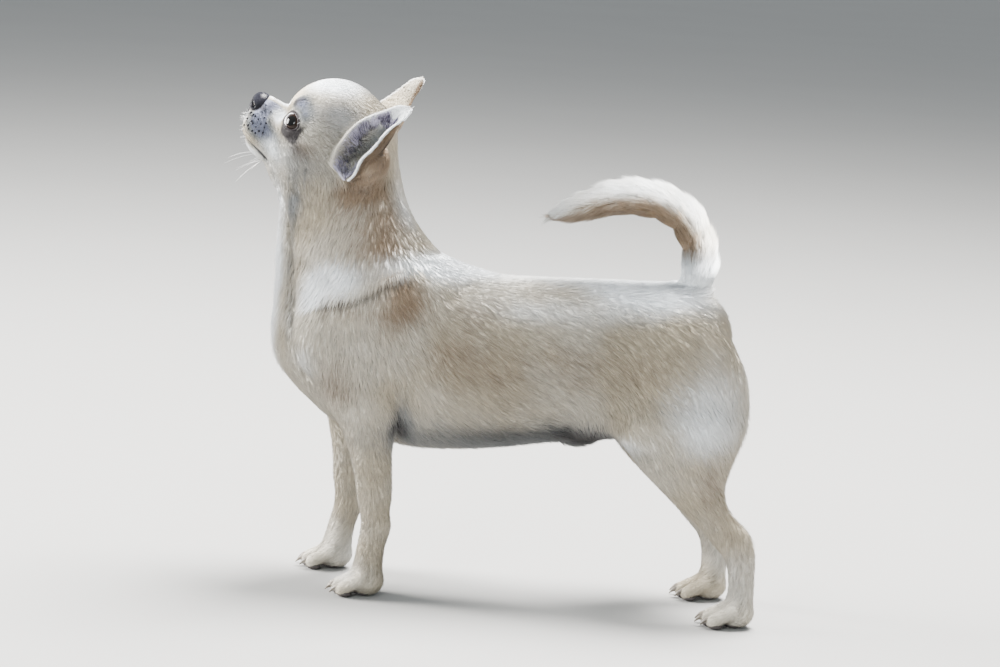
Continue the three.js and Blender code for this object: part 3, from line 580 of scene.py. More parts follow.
def surface(field, lines, band=3):
    """A closed surface over a field: one point in each grid cell that the zero level crosses, at the
    mean of its edge crossings, and one quad round each crossed grid edge. The field is worked out on
    every band-th grid line first and then only near the surface."""
    size = [len(line) for line in lines]
    coarse = [np.minimum(np.arange(0, n + band, band), n - 1) for n in size]
    mesh = np.meshgrid(*[line[c] for line, c in zip(lines, coarse)], indexing="ij")
    rough = field(np.stack([m.ravel() for m in mesh], 1)).reshape(mesh[0].shape)
    nearest = [np.minimum((np.arange(n) + band // 2) // band, len(c) - 1) for n, c in zip(size, coarse)]
    value = rough[np.ix_(*nearest)].astype(np.float32)
    widest = [band * np.gradient(line) for line in lines]
    reach = np.sqrt(sum(np.reshape(w, [-1 if i == k else 1 for k in range(3)]) ** 2
                        for i, w in enumerate(widest)))
    near = np.argwhere(np.abs(value) < reach * 1.05)
    places = np.stack([lines[i][near[:, i]] for i in range(3)], 1)
    for start in range(0, len(places), 400000):
        part = slice(start, start + 400000)
        value[tuple(near[part].T)] = field(places[part])
    for i in range(3):
        edge = [slice(None)] * 3
        for end in (0, -1):
            edge[i] = end
            value[tuple(edge)] = np.maximum(value[tuple(edge)], 0.5)

    inside = value < 0
    corners = [(i, j, k) for i in (0, 1) for j in (0, 1) for k in (0, 1)]
    shape = tuple(n - 1 for n in size)
    count = sum(inside[i:i + shape[0], j:j + shape[1], k:k + shape[2]].astype(np.int8)
                for i, j, k in corners)
    cell = np.argwhere((count > 0) & (count < 8))
    index = np.full(shape, -1, np.int64)
    index[tuple(cell.T)] = np.arange(len(cell))
    total = np.zeros((len(cell), 3))
    hits = np.zeros(len(cell))
    for axis in range(3):
        a, b = (axis + 1) % 3, (axis + 2) % 3
        for u, v in ((0, 0), (1, 0), (0, 1), (1, 1)):
            start = cell.copy()
            start[:, a] += u
            start[:, b] += v
            end = start.copy()
            end[:, axis] += 1
            f0, f1 = value[tuple(start.T)], value[tuple(end.T)]
            crossed = (f0 < 0) != (f1 < 0)
            t = np.where(crossed, f0 / np.where(crossed, f0 - f1, 1), 0)
            place = np.stack([lines[i][start[:, i]] for i in range(3)], 1)
            place[:, axis] += t * (lines[axis][end[:, axis]] - lines[axis][start[:, axis]])
            total += place * crossed[:, None]
            hits += crossed
    points = total / hits[:, None]

    quads = []
    for axis in range(3):
        a, b = (axis + 1) % 3, (axis + 2) % 3
        low = [slice(1, n - 1) for n in size]
        low[axis] = slice(0, size[axis] - 1)
        high = list(low)
        high[axis] = slice(1, size[axis])
        first, second = inside[tuple(low)], inside[tuple(high)]
        edge = np.argwhere(first != second) + [0 if i == axis else 1 for i in range(3)]
        ring = []
        for da, db in ((-1, -1), (0, -1), (0, 0), (-1, 0)):
            at = edge.copy()
            at[:, a] += da
            at[:, b] += db
            ring.append(index[tuple(at.T)])
        ring = np.stack(ring, 1)
        outward = inside[tuple(edge.T)]
        quads.append(np.where(outward[:, None], ring, ring[:, ::-1]))
    return points, np.concatenate(quads)


def relax(field, points, quads, turns):
    """Moves each point half way to the middle of its neighbours and back onto the surface."""
    for _ in range(turns):
        total = np.zeros_like(points)
        hits = np.zeros(len(points))
        for i in range(4):
            a, b = quads[:, i], quads[:, (i + 1) % 4]
            for u, v in ((a, b), (b, a)):
                for c in range(3):
                    total[:, c] += np.bincount(u, points[v, c], len(points))
                hits += np.bincount(u, minlength=len(points))
        points = settle(field, points + 0.5 * (total / hits[:, None] - points), turns=1)
    return points


def grid_line(low, high, fine_low, fine_high, wide, fine):
    """Grid places along one axis, closer together between two of them."""
    first = np.linspace(low, fine_low, max(2, round((fine_low - low) / wide)), endpoint=False)
    middle = np.linspace(fine_low, fine_high, round((fine_high - fine_low) / fine), endpoint=False)
    last = np.linspace(fine_high, high, max(2, round((high - fine_high) / wide)) + 1)
    return np.concatenate([first, middle, last])


# Meshes

STORE = {}


def put_mesh(name, points, faces, smooth=True, colours=None, uv=None):
    """A mesh object from places in millimetres and rows of corner numbers, with colour attributes given
    for each point and a texture map given for each point."""
    mesh = bpy.data.meshes.new(name)
    count, corners = faces.shape
    mesh.vertices.add(len(points))
    mesh.vertices.foreach_set("co", ((points + PLACE) * MM).astype(np.float32).ravel())
    mesh.loops.add(count * corners)
    mesh.loops.foreach_set("vertex_index", faces.astype(np.int32).ravel())
    mesh.polygons.add(count)
    mesh.polygons.foreach_set("loop_start", np.arange(0, count * corners, corners, dtype=np.int32))
    mesh.polygons.foreach_set("use_smooth", np.full(count, smooth))
    mesh.update(calc_edges=True)
    for key, value in (colours or {}).items():
        rgba = np.ones((len(points), 4), np.float32)
        rgba[:, :value.shape[1]] = value
        mesh.attributes.new(key, "FLOAT_COLOR", "POINT").data.foreach_set("color", rgba.ravel())
    if uv is not None:
        layer = mesh.uv_layers.new(name="OFBake")
        layer.data.foreach_set("uv", uv[faces.ravel()].astype(np.float32).ravel())
    old = bpy.data.objects.get(name)
    if old is not None:
        bpy.data.objects.remove(old)
    piece = bpy.data.objects.new(name, mesh)
    bpy.context.scene.collection.objects.link(piece)
    return piece


def strands(path, side, up, width, thick):
    """Closed pointed strands. Each is a three-sided tube round the first points of its own path, with
    corners at half its width to either side and at its thickness above, and ends in the last point."""
    count, rings = path.shape[0], path.shape[1] - 1
    left = path[:, :-1] - 0.5 * width[..., None] * side
    right = path[:, :-1] + 0.5 * width[..., None] * side
    top = path[:, :-1] + thick[..., None] * up
    points = np.stack([left, right, top], 2).reshape(count, rings * 3, 3)
    points = np.concatenate([points, path[:, -1:]], 1)
    one = [[0, 2, 1]]
    for ring in range(rings - 1):
        for a, b in ((0, 1), (1, 2), (2, 0)):
            low, high = 3 * ring, 3 * ring + 3
            one += [[low + a, low + b, high + b], [low + a, high + b, high + a]]
    last = 3 * (rings - 1)
    one += [[last + a, last + b, 3 * rings] for a, b in ((0, 1), (1, 2), (2, 0))]
    faces = np.array(one)[None] + (np.arange(count) * (3 * rings + 1))[:, None, None]
    return points.reshape(-1, 3), faces.reshape(-1, 3)


def tube(path, radius, sides, closed=False, flat=1.0, up=None):
    """A tube along a path: at each point a ring of radius times (cos a across, flat sin a up). An open
    tube gets a point at each end; a closed one joins its last ring to its first."""
    path = np.asarray(path, float)
    count = len(path)
    ahead = np.roll(path, -1, 0) - np.roll(path, 1, 0)
    if not closed:
        ahead[0], ahead[-1] = path[1] - path[0], path[-1] - path[-2]
    ahead = unit(ahead)
    up = np.broadcast_to(np.array([0.0, 0.0, 1.0]) if up is None else up, path.shape)
    across = unit(np.cross(up, ahead))
    upward = np.cross(ahead, across)
    turn = np.arange(sides) * 2 * np.pi / sides
    radius = np.broadcast_to(radius, count)
    ring = np.cos(turn)[:, None] * across[:, None] + flat * np.sin(turn)[:, None] * upward[:, None]
    points = (path[:, None] + radius[:, None, None] * ring).reshape(-1, 3)
    rows = np.arange(count if closed else count - 1)
    i = np.arange(sides)
    a = rows[:, None] * sides + i
    b = rows[:, None] * sides + (i + 1) % sides
    c = ((rows[:, None] + 1) % count) * sides + (i + 1) % sides
    d = ((rows[:, None] + 1) % count) * sides + i
    faces = [np.stack([a, b, c], -1).reshape(-1, 3), np.stack([a, c, d], -1).reshape(-1, 3)]
    if not closed:
        points = np.concatenate([points, path[:1], path[-1:]])
        first, last = count * sides, count * sides + 1
        end = (count - 1) * sides
        faces.append(np.stack([np.full(sides, first), (i + 1) % sides, i], 1))
        faces.append(np.stack([np.full(sides, last), end + i, end + (i + 1) % sides], 1))
    return points, np.concatenate(faces)


def gaze_way(polar, turn):
    """Ways at an angle from a gaze along x and at a turn about it."""
    return np.stack([np.cos(polar), np.sin(polar) * np.cos(turn), np.sin(polar) * np.sin(turn)], -1)


def globe(middle, radii, axes, rows, columns):
    """An ellipsoid: radii times (cos v, sin v cos w, sin v sin w) along three axes, with one point at
    each end and triangles between."""
    v = np.linspace(0, np.pi, rows + 1)[1:-1]
    w = np.arange(columns) * 2 * np.pi / columns
    vv, ww = np.meshgrid(v, w, indexing="ij")
    unit_points = np.concatenate([gaze_way(vv, ww).reshape(-1, 3), [[1, 0, 0], [-1, 0, 0]]])
    points = middle + (unit_points * radii) @ axes
    i = np.arange(columns)
    faces = []
    for row in range(rows - 2):
        a, b = row * columns + i, row * columns + (i + 1) % columns
        faces += [np.stack([a, a + columns, b + columns], 1), np.stack([a, b + columns, b], 1)]
    first = (rows - 1) * columns
    end = (rows - 2) * columns
    faces.append(np.stack([np.full(columns, first), i, (i + 1) % columns], 1))
    faces.append(np.stack([np.full(columns, first + 1), end + (i + 1) % columns, end + i], 1))
    faces = np.concatenate(faces)
    if np.linalg.det(np.asarray(axes, float)) < 0:
        faces = faces[:, ::-1]
    return points, faces, unit_points


def merged(pieces):
    """Several meshes as one: their points and faces one after the other."""
    points, faces, start = [], [], 0
    for piece_points, piece_faces in pieces:
        points.append(piece_points)
        faces.append(piece_faces + start)
        start += len(piece_points)
    return np.concatenate(points), np.concatenate(faces)


# Markings, with painted shade and painted highlight among them, for one side: middle and reach in
# millimetres, then strength
# Tan patches. Those just below and behind the ear, and the band along the fold of the neck, are partly
# painted shadow: the ear's shadow and the shade under the fold.
TAN_AND_PAINTED_SHADE = [
    (-72, 28, 214, 22, 30, 28, 0.75), (-68, 22, 236, 14, 24, 12, 0.25), (-86, 27, 243, 9, 14, 7, 1),
    (-74, 31, 258, 8, 14, 9, 1.2), (-54, 38, 181, 13, 24, 12, 0.85),
    (-64, 40, 165, 10, 20, 10, 0.3), (-18, 38, 176, 14, 20, 8, 0.4),
    (-26, 42, 153, 24, 24, 15, 0.5), (38, 38, 149, 44, 24, 15, 0.4),
    (-4, 40, 135, 30, 20, 14, 0.25), (82, 39, 146, 18, 24, 14, 0.2),
    (-92, 41, 130, 14, 18, 16, 0.55), (140, 34, 62, 14, 20, 14, 0.3),
    (150, 34, 36, 14, 20, 14, 0.35), (-97, 27, 282, 20, 12, 12, 0.35),
    (112, 0, 200, 20, 20, 20, 0.3), (-84, 37, 173, 24, 14, 5, 0.4), (-82, 32, 241.5, 16, 12, 5, 1),
    (-97, 24, 284, 28, 26, 12, 0.2), (126, 38, 88, 9, 18, 20, 0.5), (-122, 31, 260, 9, 8, 6, 0.95),
    (-104, 34, 268, 16, 14, 12, 0.25), (-95, 30, 236, 10, 14, 12, 0.3),
]
# Grey patches. Those under the belly, by the sheath, at the elbow and in the strip down the front of
# the neck beside the white ruff are painted shade on parts turned away from the light.
GREY_AND_PAINTED_SHADE = [
    (0, 20, 97, 80, 40, 15, 0.95), (50, 20, 103, 22, 26, 12, 0.9),
    (-125, 22, 208, 3.6, 9, 38, 0.55), (-122, 27, 170, 4, 9, 28, 0.5),
    (-99, 27, 282, 20, 12, 12, 0.75), (-54, 38, 112, 7, 22, 20, 0.7),
    (-92, 26, 262, 13, 16, 14, 0.5), (35, 30, 178, 60, 24, 9, 0.25),
    (-118, 30, 250, 16, 14, 12, 0.3), (-64, 28, 40, 30, 30, 34, 0.2),
    (-126, 20, 232, 12, 16, 10, 0.55), (-104, 29, 262, 20, 16, 16, 0.25),
]
# White patches. Those along the top of the back, on the withers, the rump, the nape and the point of
# the shoulder are painted highlight where the light from above falls.
WHITE_AND_PAINTED_HIGHLIGHT = [
    (-96, 35, 190, 17, 20, 11, 1), (-109, 33, 177, 9, 18, 12, 0.8), (-137, 0, 190, 10, 26, 60, 1.3),
    (127, 37, 133, 25, 22, 30, 0.66), (118, 44, 112, 16, 16, 14, 0.3),
    (145, 29, 30, 20, 20, 24, 0.4), (85, 20, 189, 36, 16, 12, 0.8), (25, 30, 178, 46, 13, 10, 0.45),
    (-80, 42, 160, 14, 14, 12, 0.5), (100, 42, 130, 16, 14, 16, 0.25),
    (-80, 28, 14, 30, 24, 18, 0.4), (40, 0, 198, 110, 28, 10, 1), (-112, 36, 143, 10, 14, 12, 0.5),
    (82, 30, 106, 20, 14, 6, 0.6), (-66, 6, 222, 10, 12, 34, 0.55), (-107, 8, 298, 26, 22, 8, 0.6),
    (-42, 24, 199, 30, 24, 8, 0.8),
]
# Darker patches, mostly painted shade: below and behind the ear, under the belly, between the legs by
# the sheath, at the elbow and below the end of the neck fold.
DARKER_AND_PAINTED_SHADE = [
    (-74, 31, 258, 8, 13, 9, 0.42), (-84, 30, 242, 14, 10, 4.5, 0.32),
    (50, 20, 103, 17, 28, 10, 0.85), (-56, 32, 105, 4.5, 20, 12, 0.55),
    (-2, 24, 104, 58, 40, 9, 0.44), (-124, 31, 262, 7, 8, 5, 0.5), (-54, 38, 181, 9, 20, 9, 0.2),
]
# Slate grey of the muzzle and brow. The small patches on the side of the bridge just behind the nose
# are painted shade.
FACE_GREY_AND_PAINTED_SHADE = [
    (55, 12, -13, 8, 12, 8, 0.95), (48, 15, -18, 8, 9, 7, 0.5), (55.5, 9, -6, 4, 4, 4, 1.3),
    (52, 6.5, -1.8, 6, 3.4, 3, 1.5), (39, 17, 11, 6, 7, 6, 0.9), (33, 24, 7, 5, 6, 6, 0.6),
    (28, 27, -18, 15, 14, 12, 0.42), (42, 17, -16, 6, 8, 8, 0.35),
]
# White on the face. The thin line along the top of the bridge is a painted highlight.
FACE_WHITE_AND_PAINTED_HIGHLIGHT = [
    (49, 0, 1.5, 11, 2.6, 2.4, 1), (45, 9, -5, 4.5, 6, 4, 1.1), (42, 17, -22, 8, 9, 6, 0.55),
    (30, 26, -18, 16, 14, 14, 0.25), (33, 22, 9, 5, 5, 4, 0.3), (30, 0, 26, 20, 18, 10, 0.5),
    (50, 0, -31, 12, 12, 5, 0.9), (62, 0, -18, 4.5, 8, 9, 0.9),
]
FACE_DARK = [
    (34.5, 25, -6.4, 4.8, 6, 3.5, 1.3), (38.8, 22, -6.4, 3.4, 5, 3.6, 1.1),
    (31, 27.5, -1, 2.2, 5, 4.4, 0.8), (39, 16, 12, 4.2, 5, 3.2, 0.62),
    (41.5, 15.5, 8, 3, 5, 2.6, 0.6), (60, 7, -12.8, 5, 7, 1.6, 0.6),
    (31.5, 27, -9.8, 6.5, 6, 3.4, 0.5), (56, 9, -5.5, 3.4, 3.4, 3.4, 0.6),
    (33, 12, -34.5, 5, 6, 2.6, 0.6),
]
# Painted shade in lines along the fold of the neck, the fold down the front of the chest and the crease
# behind the elbow: points, then width and strength
SHADED = [
    ([[-102, 36, 172.6], [-93, 37, 174.8], [-84, 38, 177.6], [-75, 38, 182], [-67, 37, 187],
      [-59, 35, 191], [-52, 31, 194.5]], 3.4, 0.55),
    ([[-130, 16, 223], [-125, 21, 205], [-123, 23, 188], [-121, 27, 166], [-116, 34, 145],
      [-113, 30, 131]], 1.8, 0.4),
    ([[-54, 39, 127], [-55, 38, 120], [-56, 35, 113], [-57, 31, 104], [-58, 18, 93]], 3.0, 0.35),
]


def blobs(p, patches):
    """Soft patches: strength times exp(-|(place - middle) / reach|^2), added up to at most one."""
    total = np.zeros(len(p))
    for row in np.array(patches):
        q = (p - row[:3]) / row[3:6]
        total += row[6] * np.exp(-(q * q).sum(1))
    return np.minimum(total, 1)


def on_face(angle, height, side, sunk=0.0):
    """Places on the muzzle's skin, straight out from its middle line at an angle and a height."""
    angle = np.asarray(angle, float)
    near, away = np.zeros(len(angle)), np.full(len(angle), 40.0)
    out = np.stack([np.cos(angle), side * np.sin(angle), np.zeros(len(angle))], 1)
    heart = np.stack([np.full(len(angle), MOUTH_HEART), np.zeros(len(angle)), height], 1)
    for _ in range(20):
        middle = (near + away) / 2
        inside = skin_form(from_head(heart + out * middle[:, None]))[0] < 0
        near, away = np.where(inside, middle, near), np.where(inside, away, middle)
    return heart + out * (near - sunk)[:, None], out


def markings(p, share):
    """Tan, grey, dark and white amounts at places on the body: the coat's own colours, with painted
    shade and painted highlight among them.
    """
    mirrored = folded(p)
    q = to_head(p)
    face = folded(q)
    head = share[:, HEAD] + share[:, EAR]
    tan, grey, white = blobs(mirrored, TAN_AND_PAINTED_SHADE), blobs(mirrored, GREY_AND_PAINTED_SHADE), blobs(mirrored, WHITE_AND_PAINTED_HIGHLIGHT)
    below = smooth_step((patch_edge(p[:, 0]) + 1 - p[:, 2]) / 2.5) * (p[:, 0] < -45)
    below *= smooth_step((mirrored[:, 1] - 18) / 6) * smooth_step((p[:, 2] - 150) / 10)
    white *= 1 - 0.85 * below
    slate = head * blobs(face, FACE_GREY_AND_PAINTED_SHADE)
    grey = np.minimum(1, grey + slate) + 0.7 * smooth_step((slate - 0.35) / 0.65)
    white = np.minimum(1, white + head * blobs(face, FACE_WHITE_AND_PAINTED_HIGHLIGHT))
    dark = np.maximum(head * blobs(face, FACE_DARK), blobs(mirrored, DARKER_AND_PAINTED_SHADE))
    # Painted shade in the gaps between the toes.
    dark = np.maximum(dark, 0.5 * toe_gaps(p))
    for points, width, strength in SHADED:
        near, away = near_line(mirrored, points, 3 * width)
        line = strength * np.exp(-(away / width) ** 2)
        dark[near] = np.maximum(dark[near], line)
        white[near] *= 1 - line
    for side in (1, -1):
        middle, turn = eye_frame(side)
        gaze = (q - middle) @ turn
        rim = np.exp(-(np.maximum(lid_opening(gaze, side), 0) / 1.5) ** 2)
        dark = np.maximum(dark, rim * (length_of(gaze) < EYE_RADIUS + 3) * (gaze[:, 0] > 0))
    way = mouth_way(q)
    line = np.exp(-(q[:, 2] - mouth_height(way)) ** 2) * mouth_fade(way)
    dark = np.maximum(dark, line * (q[:, 0] > 34) * (q[:, 2] < -10))
    edge = np.exp(-((nose_form(q) - 0.3) / 0.8) ** 2) * (q[:, 0] > 50) * (q[:, 2] < -3)
    dark = np.maximum(dark, 0.7 * edge)
    # Ears: the rims are pale, partly painted highlight where light catches the edges. Grey and dark
    # deepen into the hollow as painted shade. A dark line on the back just behind the rear rim, and
    # darkening of the back, are painted shadow; the back is also tan.
    for side in (1, -1):
        near = (share[:, EAR] > 0.15) & (q[:, 1] * side > 0)
        if near.any():
            u, across, behind, half, reach = in_ear(q[near], side)
            edge = half * (1 - across)
            inner = smooth_step((EAR_WALL - reach) / 0.05)
            deep = along(EARS[side], "deep", u)
            rim = smooth_step((1.7 - half * (1 - np.abs(across))) / 0.8)
            rim *= smooth_step((1.6 - behind * deep) / 0.8)
            hollow = smooth_step(behind * 2.2) * smooth_step((0.8 - u) / 0.34)
            hollow *= smooth_step((across + 0.85) / 0.6)
            back = smooth_step((across + 0.25) / 0.5) * (1 - inner)
            rim_shadow = np.exp(-((edge - 2.6) / 0.8) ** 2) * (1 - inner) * smooth_step((0.9 - u) * 4)
            shaded = inner * hollow * (0.7 + 0.6 * smooth_step(across + 0.4)) + 0.4 * rim_shadow
            shaded += 0.36 * back * (1 - rim) * smooth_step((0.9 - u) / 0.4)
            pale = np.maximum(rim * (0.55 + 0.45 * (across > 0)),
                              (1 - hollow) * inner * smooth_step((u + 0.1) / 0.4) * 0.7)
            amount = share[near, EAR]
            for mark, own in ((tan, back * (1 - rim) * 1.15), (grey, inner * (0.3 + 1.4 * hollow)),
                              (dark, shaded), (white, pale)):
                mark[near] = mark[near] * (1 - amount) + amount * own
    # The inside of the tail's curl is tan: partly its own colour, and partly painted warm light shining
    # through the hair.
    spine, _, _ = tail_place(p)
    toward = unit(TAIL_HEART - spine)
    inner = smooth_step(0.5 + 0.9 * (unit(p - spine) * toward).sum(1))
    tan = np.minimum(1, tan + share[:, TAIL] * inner)
    base = np.exp(-((p[:, 2] - 196) / 24) ** 2) * smooth_step((p[:, 0] - 90) / 10)
    white = np.minimum(1, white + share[:, TAIL] * 0.62 * (1 - inner) * (1 - 0.9 * base))
    soles = smooth_step((2.6 - p[:, 2]) / 1.2)
    return tan, grey, np.maximum(dark, 0.8 * soles), white


def tail_place(p):
    """The nearest point of the tail's middle line, the way along it there and how far along it is."""
    best = np.full(len(p), 1e9)
    spine = np.zeros_like(p)
    ahead = np.zeros_like(p)
    travel = np.zeros(len(p))
    run = 0.0
    line = np.array([[x, 0.0, z] for x, z, _ in TAIL_LINE])
    ways = unit(np.diff(line, axis=0))
    ways = unit(np.concatenate([ways[:1], ways[:-1] + ways[1:], ways[-1:]]))
    for a, b, way_a, way_b in zip(line[:-1], line[1:], ways[:-1], ways[1:]):
        span = b - a
        t = np.clip((p - a) @ span / (span @ span), 0, 1)
        foot = a + t[:, None] * span
        away = length_of(p - foot)
        nearer = away < best
        best = np.where(nearer, away, best)
        spine[nearer] = foot[nearer]
        ahead[nearer] = unit(way_a + t[nearer, None] * (way_b - way_a))
        travel = np.where(nearer, run + t * length_of(span), travel)
        run += length_of(span)
    return spine, ahead, travel / run


def nose_form(q):
    """The nose leather: a broad pad with two wings and a short bridge down to the lip."""
    m = folded(q)
    form = ball(m, [58.6, 0, -5.3], [5.9, 7.2, 6.1])
    form = join(form, ball(m, [59.6, 4.6, -7.4], [4.6, 3.9, 3.8]), 2)
    return join(form, ball(m, [60.5, 0, -11.5], [3.4, 2.6, 4]), 2)


# The lie of the coat: a place, and the way the hair points there, for the left side of the body
BODY_LIE = [
    (-60, 0, 195, 1, 0, -0.1), (-25, 0, 196, 1, 0, 0), (30, 0, 193, 1, 0, 0), (80, 0, 195, 1, 0, 0),
    (125, 0, 180, 0.5, 0, -0.85), (-50, 30, 190, 0.62, 0.1, -0.7), (-20, 32, 186, 0.85, 0.2, -0.4),
    (30, 30, 184, 0.9, 0.2, -0.35), (75, 28, 184, 0.85, 0.2, -0.45),
    (-50, 40, 172, 0.5, 0.1, -0.85), (-92, 38, 165, -0.05, 0.1, -1), (-72, 42, 158, 0.3, 0, -0.95),
    (-45, 43, 150, 0.6, 0, -0.8), (-92, 40, 132, 0.1, 0.1, -1), (-70, 42, 130, 0.3, 0, -0.95),
    (-20, 43, 160, 0.84, 0, -0.54), (-20, 42, 130, 0.8, 0, -0.6), (-30, 38, 105, 0.8, -0.2, -0.5),
    (-50, 38, 118, 0.45, 0, -0.9), (20, 40, 160, 0.86, 0, -0.5), (20, 38, 130, 0.88, 0, -0.47),
    (25, 32, 106, 0.95, -0.1, -0.2), (55, 35, 160, 0.85, 0, -0.52), (60, 35, 130, 0.8, 0, -0.6),
    (58, 28, 110, 0.2, -0.2, -0.95), (85, 37, 165, 0.78, 0, -0.62), (95, 39, 140, 0.72, 0, -0.7),
    (85, 38, 118, 0.6, 0, -0.8), (115, 36, 160, 0.7, 0, -0.72), (120, 40, 130, 0.5, 0, -0.86),
    (140, 22, 155, 0.2, 0.1, -1), (146, 25, 130, 0, 0.1, -1), (140, 8, 140, 0, -0.2, -1),
    (-40, 5, 86, 1, 0, 0), (10, 5, 91, 1, 0, 0), (44, 0, 91, 1, 0, -0.2),
    (-100, 8, 102, 0.7, 0, -0.7), (-128, 6, 130, 0.35, 0.1, -0.95), (-135, 5, 165, 0, 0.12, -1),
    (-137, 4, 200, 0, 0.1, -1), (-122, 22, 150, 0.1, 0.25, -1), (-126, 20, 190, -0.15, 0.2, -1),
    (-112, 33, 182, -0.45, 0.3, -0.85), (-97, 37, 192, -0.42, 0.2, -0.9),
    (-75, 37, 196, -0.15, 0.2, -0.98), (-58, 32, 200, 0.25, 0.2, -0.95),
    (-112, 32, 210, -0.3, 0.2, -0.93), (-88, 34, 215, -0.25, 0.1, -0.96),
    (-68, 30, 215, 0.15, 0.15, -0.98), (-52, 12, 215, 0.5, 0.1, -0.85),
    (-64, 15, 235, 0.2, 0.1, -1), (-90, 32, 232, -0.35, 0.1, -0.9), (-120, 26, 228, 0.1, 0.1, -1),
    (-137, 5, 225, 0.05, 0, -1), (-80, 36, 95, 0.05, 0, -1), (-62, 34, 95, 0.3, 0, -0.95),
    (-68, 30, 60, 0.1, 0, -1), (-68, 20, 60, 0.1, 0, -1), (-66, 28, 30, 0, 0, -1),
    (-82, 28, 14, -0.8, 0, -0.5), (110, 40, 100, 0.5, 0, -0.87), (120, 32, 75, 0.6, 0, -0.8),
    (150, 31, 60, 0.2, 0, -1), (148, 29, 35, 0, 0, -1), (136, 29, 14, -0.8, 0, -0.5),
    (100, 15, 105, 0.5, 0, -0.85),
]
# The same on the head, in its own frame
HEAD_LIE = [
    (56, 0, 1, -1, 0, 0.15), (45, 0, 1, -1, 0, 0.2), (37, 0, 9, -0.5, 0, 0.87),
    (32, 8, 20, -0.6, 0.25, 0.8), (22, 0, 31, -0.9, 0, 0.4), (5, 0, 33, -1, 0, -0.1),
    (-12, 0, 24, -0.7, 0, -0.7), (-20, 8, 8, -0.4, 0, -0.9), (55, 12, -12, -0.8, 0.4, -0.4),
    (46, 17, -18, -0.85, 0.2, -0.5), (48, 10, -8, -0.9, 0.3, 0), (38, 19, -16, -0.8, 0.2, -0.6),
    (30, 26, -10, -0.75, 0.3, -0.6), (24, 30, 0, -1, 0.1, -0.15), (33, 20, 10, -0.5, 0.5, 0.7),
    (22, 27, 14, -0.9, 0.2, 0.35), (10, 20, 28, -0.95, 0.3, 0.1), (8, 32, 2, -0.95, 0.1, -0.2),
    (15, 32, -14, -0.75, 0, -0.65), (5, 30, -22, -0.5, 0, -0.85), (28, 22, -30, -0.8, 0, -0.6),
    (48, 5, -33, -0.9, 0, -0.4), (30, 0, -43, -0.9, 0, -0.45), (10, 10, -42, -0.6, 0, -0.8),
    (-18, 24, 0, -0.3, 0.2, -0.9),
]


def lie_of_coat(p, share, normal):
    """The way the hair points, along the skin: the anchors' ways weighted by 1 / (distance^2 + 12)^2,
    the tail's and the ears' own ways where those are, less the part that points off the skin."""
    places, ways = [], []
    for side in (1, -1):
        on_body = np.array(BODY_LIE).reshape(-1, 2, 3) * [1, -side, 1]
        on_head = np.array(HEAD_LIE).reshape(-1, 2, 3) * [1, side, 1]
        places += [*on_body[:, 0], *from_head(on_head[:, 0])]
        ways += [*on_body[:, 1], *(on_head[:, 1] @ HEAD_AXES)]
    flow = np.zeros_like(p)
    for place, way in zip(places, unit(np.array(ways))):
        away = ((p - place) ** 2).sum(1)
        flow += (1 / (away + 12) ** 2)[:, None] * way
    flow = unit(flow)
    _, tail_way, _ = tail_place(p)
    flow = flow * (1 - share[:, TAIL, None]) + tail_way * share[:, TAIL, None]
    for side in (1, -1):
        here = share[:, EAR, None] * (to_head(p)[:, 1:2] * side > 0)
        flow = flow * (1 - here) + (EARS[side]["axis"] @ HEAD_AXES) * here
    flow = flow - normal * (flow * normal).sum(1, keepdims=True)
    return unit(flow)


def body():
    """The skin's points and quads, with the share of each form, the normals and the markings."""
    if "body" in STORE:
        return STORE["body"]

    def field(p):
        return skin_form(p)[0]

    wide = 2.5
    fine = 1.0
    lines = [grid_line(-166, 166, -163, -52, wide, fine), grid_line(-51, 51, -48, 48, wide, fine),
             grid_line(-3, 306, 226, 303, wide, fine)]
    points, quads = surface(field, lines)
    points = settle(field, points)
    points = relax(field, points, quads, 2)
    points[:, 2] = np.maximum(points[:, 2], 0.0)
    angle, height = np.array(WHISKERS).T
    STORE["whiskers"] = {side: on_face(np.radians(angle), height, side)[0] for side in (1, -1)}
    normal = unit(slope(field, points))
    share = skin_form(points)[1]
    STORE["body"] = points, quads, share, normal, markings(points, share)
    STORE["field"] = field
    return STORE["body"]


# Coat pieces: which roots each takes, by their forms and by a stretch along the body
FAR = 999
WHOLE = (-FAR, FAR)
COAT = {
    "coat_face": ([HEAD], -FAR, -113), "coat_skull": ([HEAD], -113, FAR),
    "coat_ears": ([EAR], *WHOLE), "coat_neck": ([NECK], *WHOLE), "coat_chest": ([TORSO], -FAR, -62),
    "coat_ribs": ([TORSO], -62, -8), "coat_flank": ([TORSO], -8, 48), "coat_loin": ([TORSO], 48, 98),
    "coat_rump": ([TORSO], 98, FAR), "coat_front_legs": ([FORE, FORE_PAW], *WHOLE),
    "coat_hind_legs": ([HIND, HIND_PAW], *WHOLE), "coat_tail": ([TAIL], *WHOLE),
}


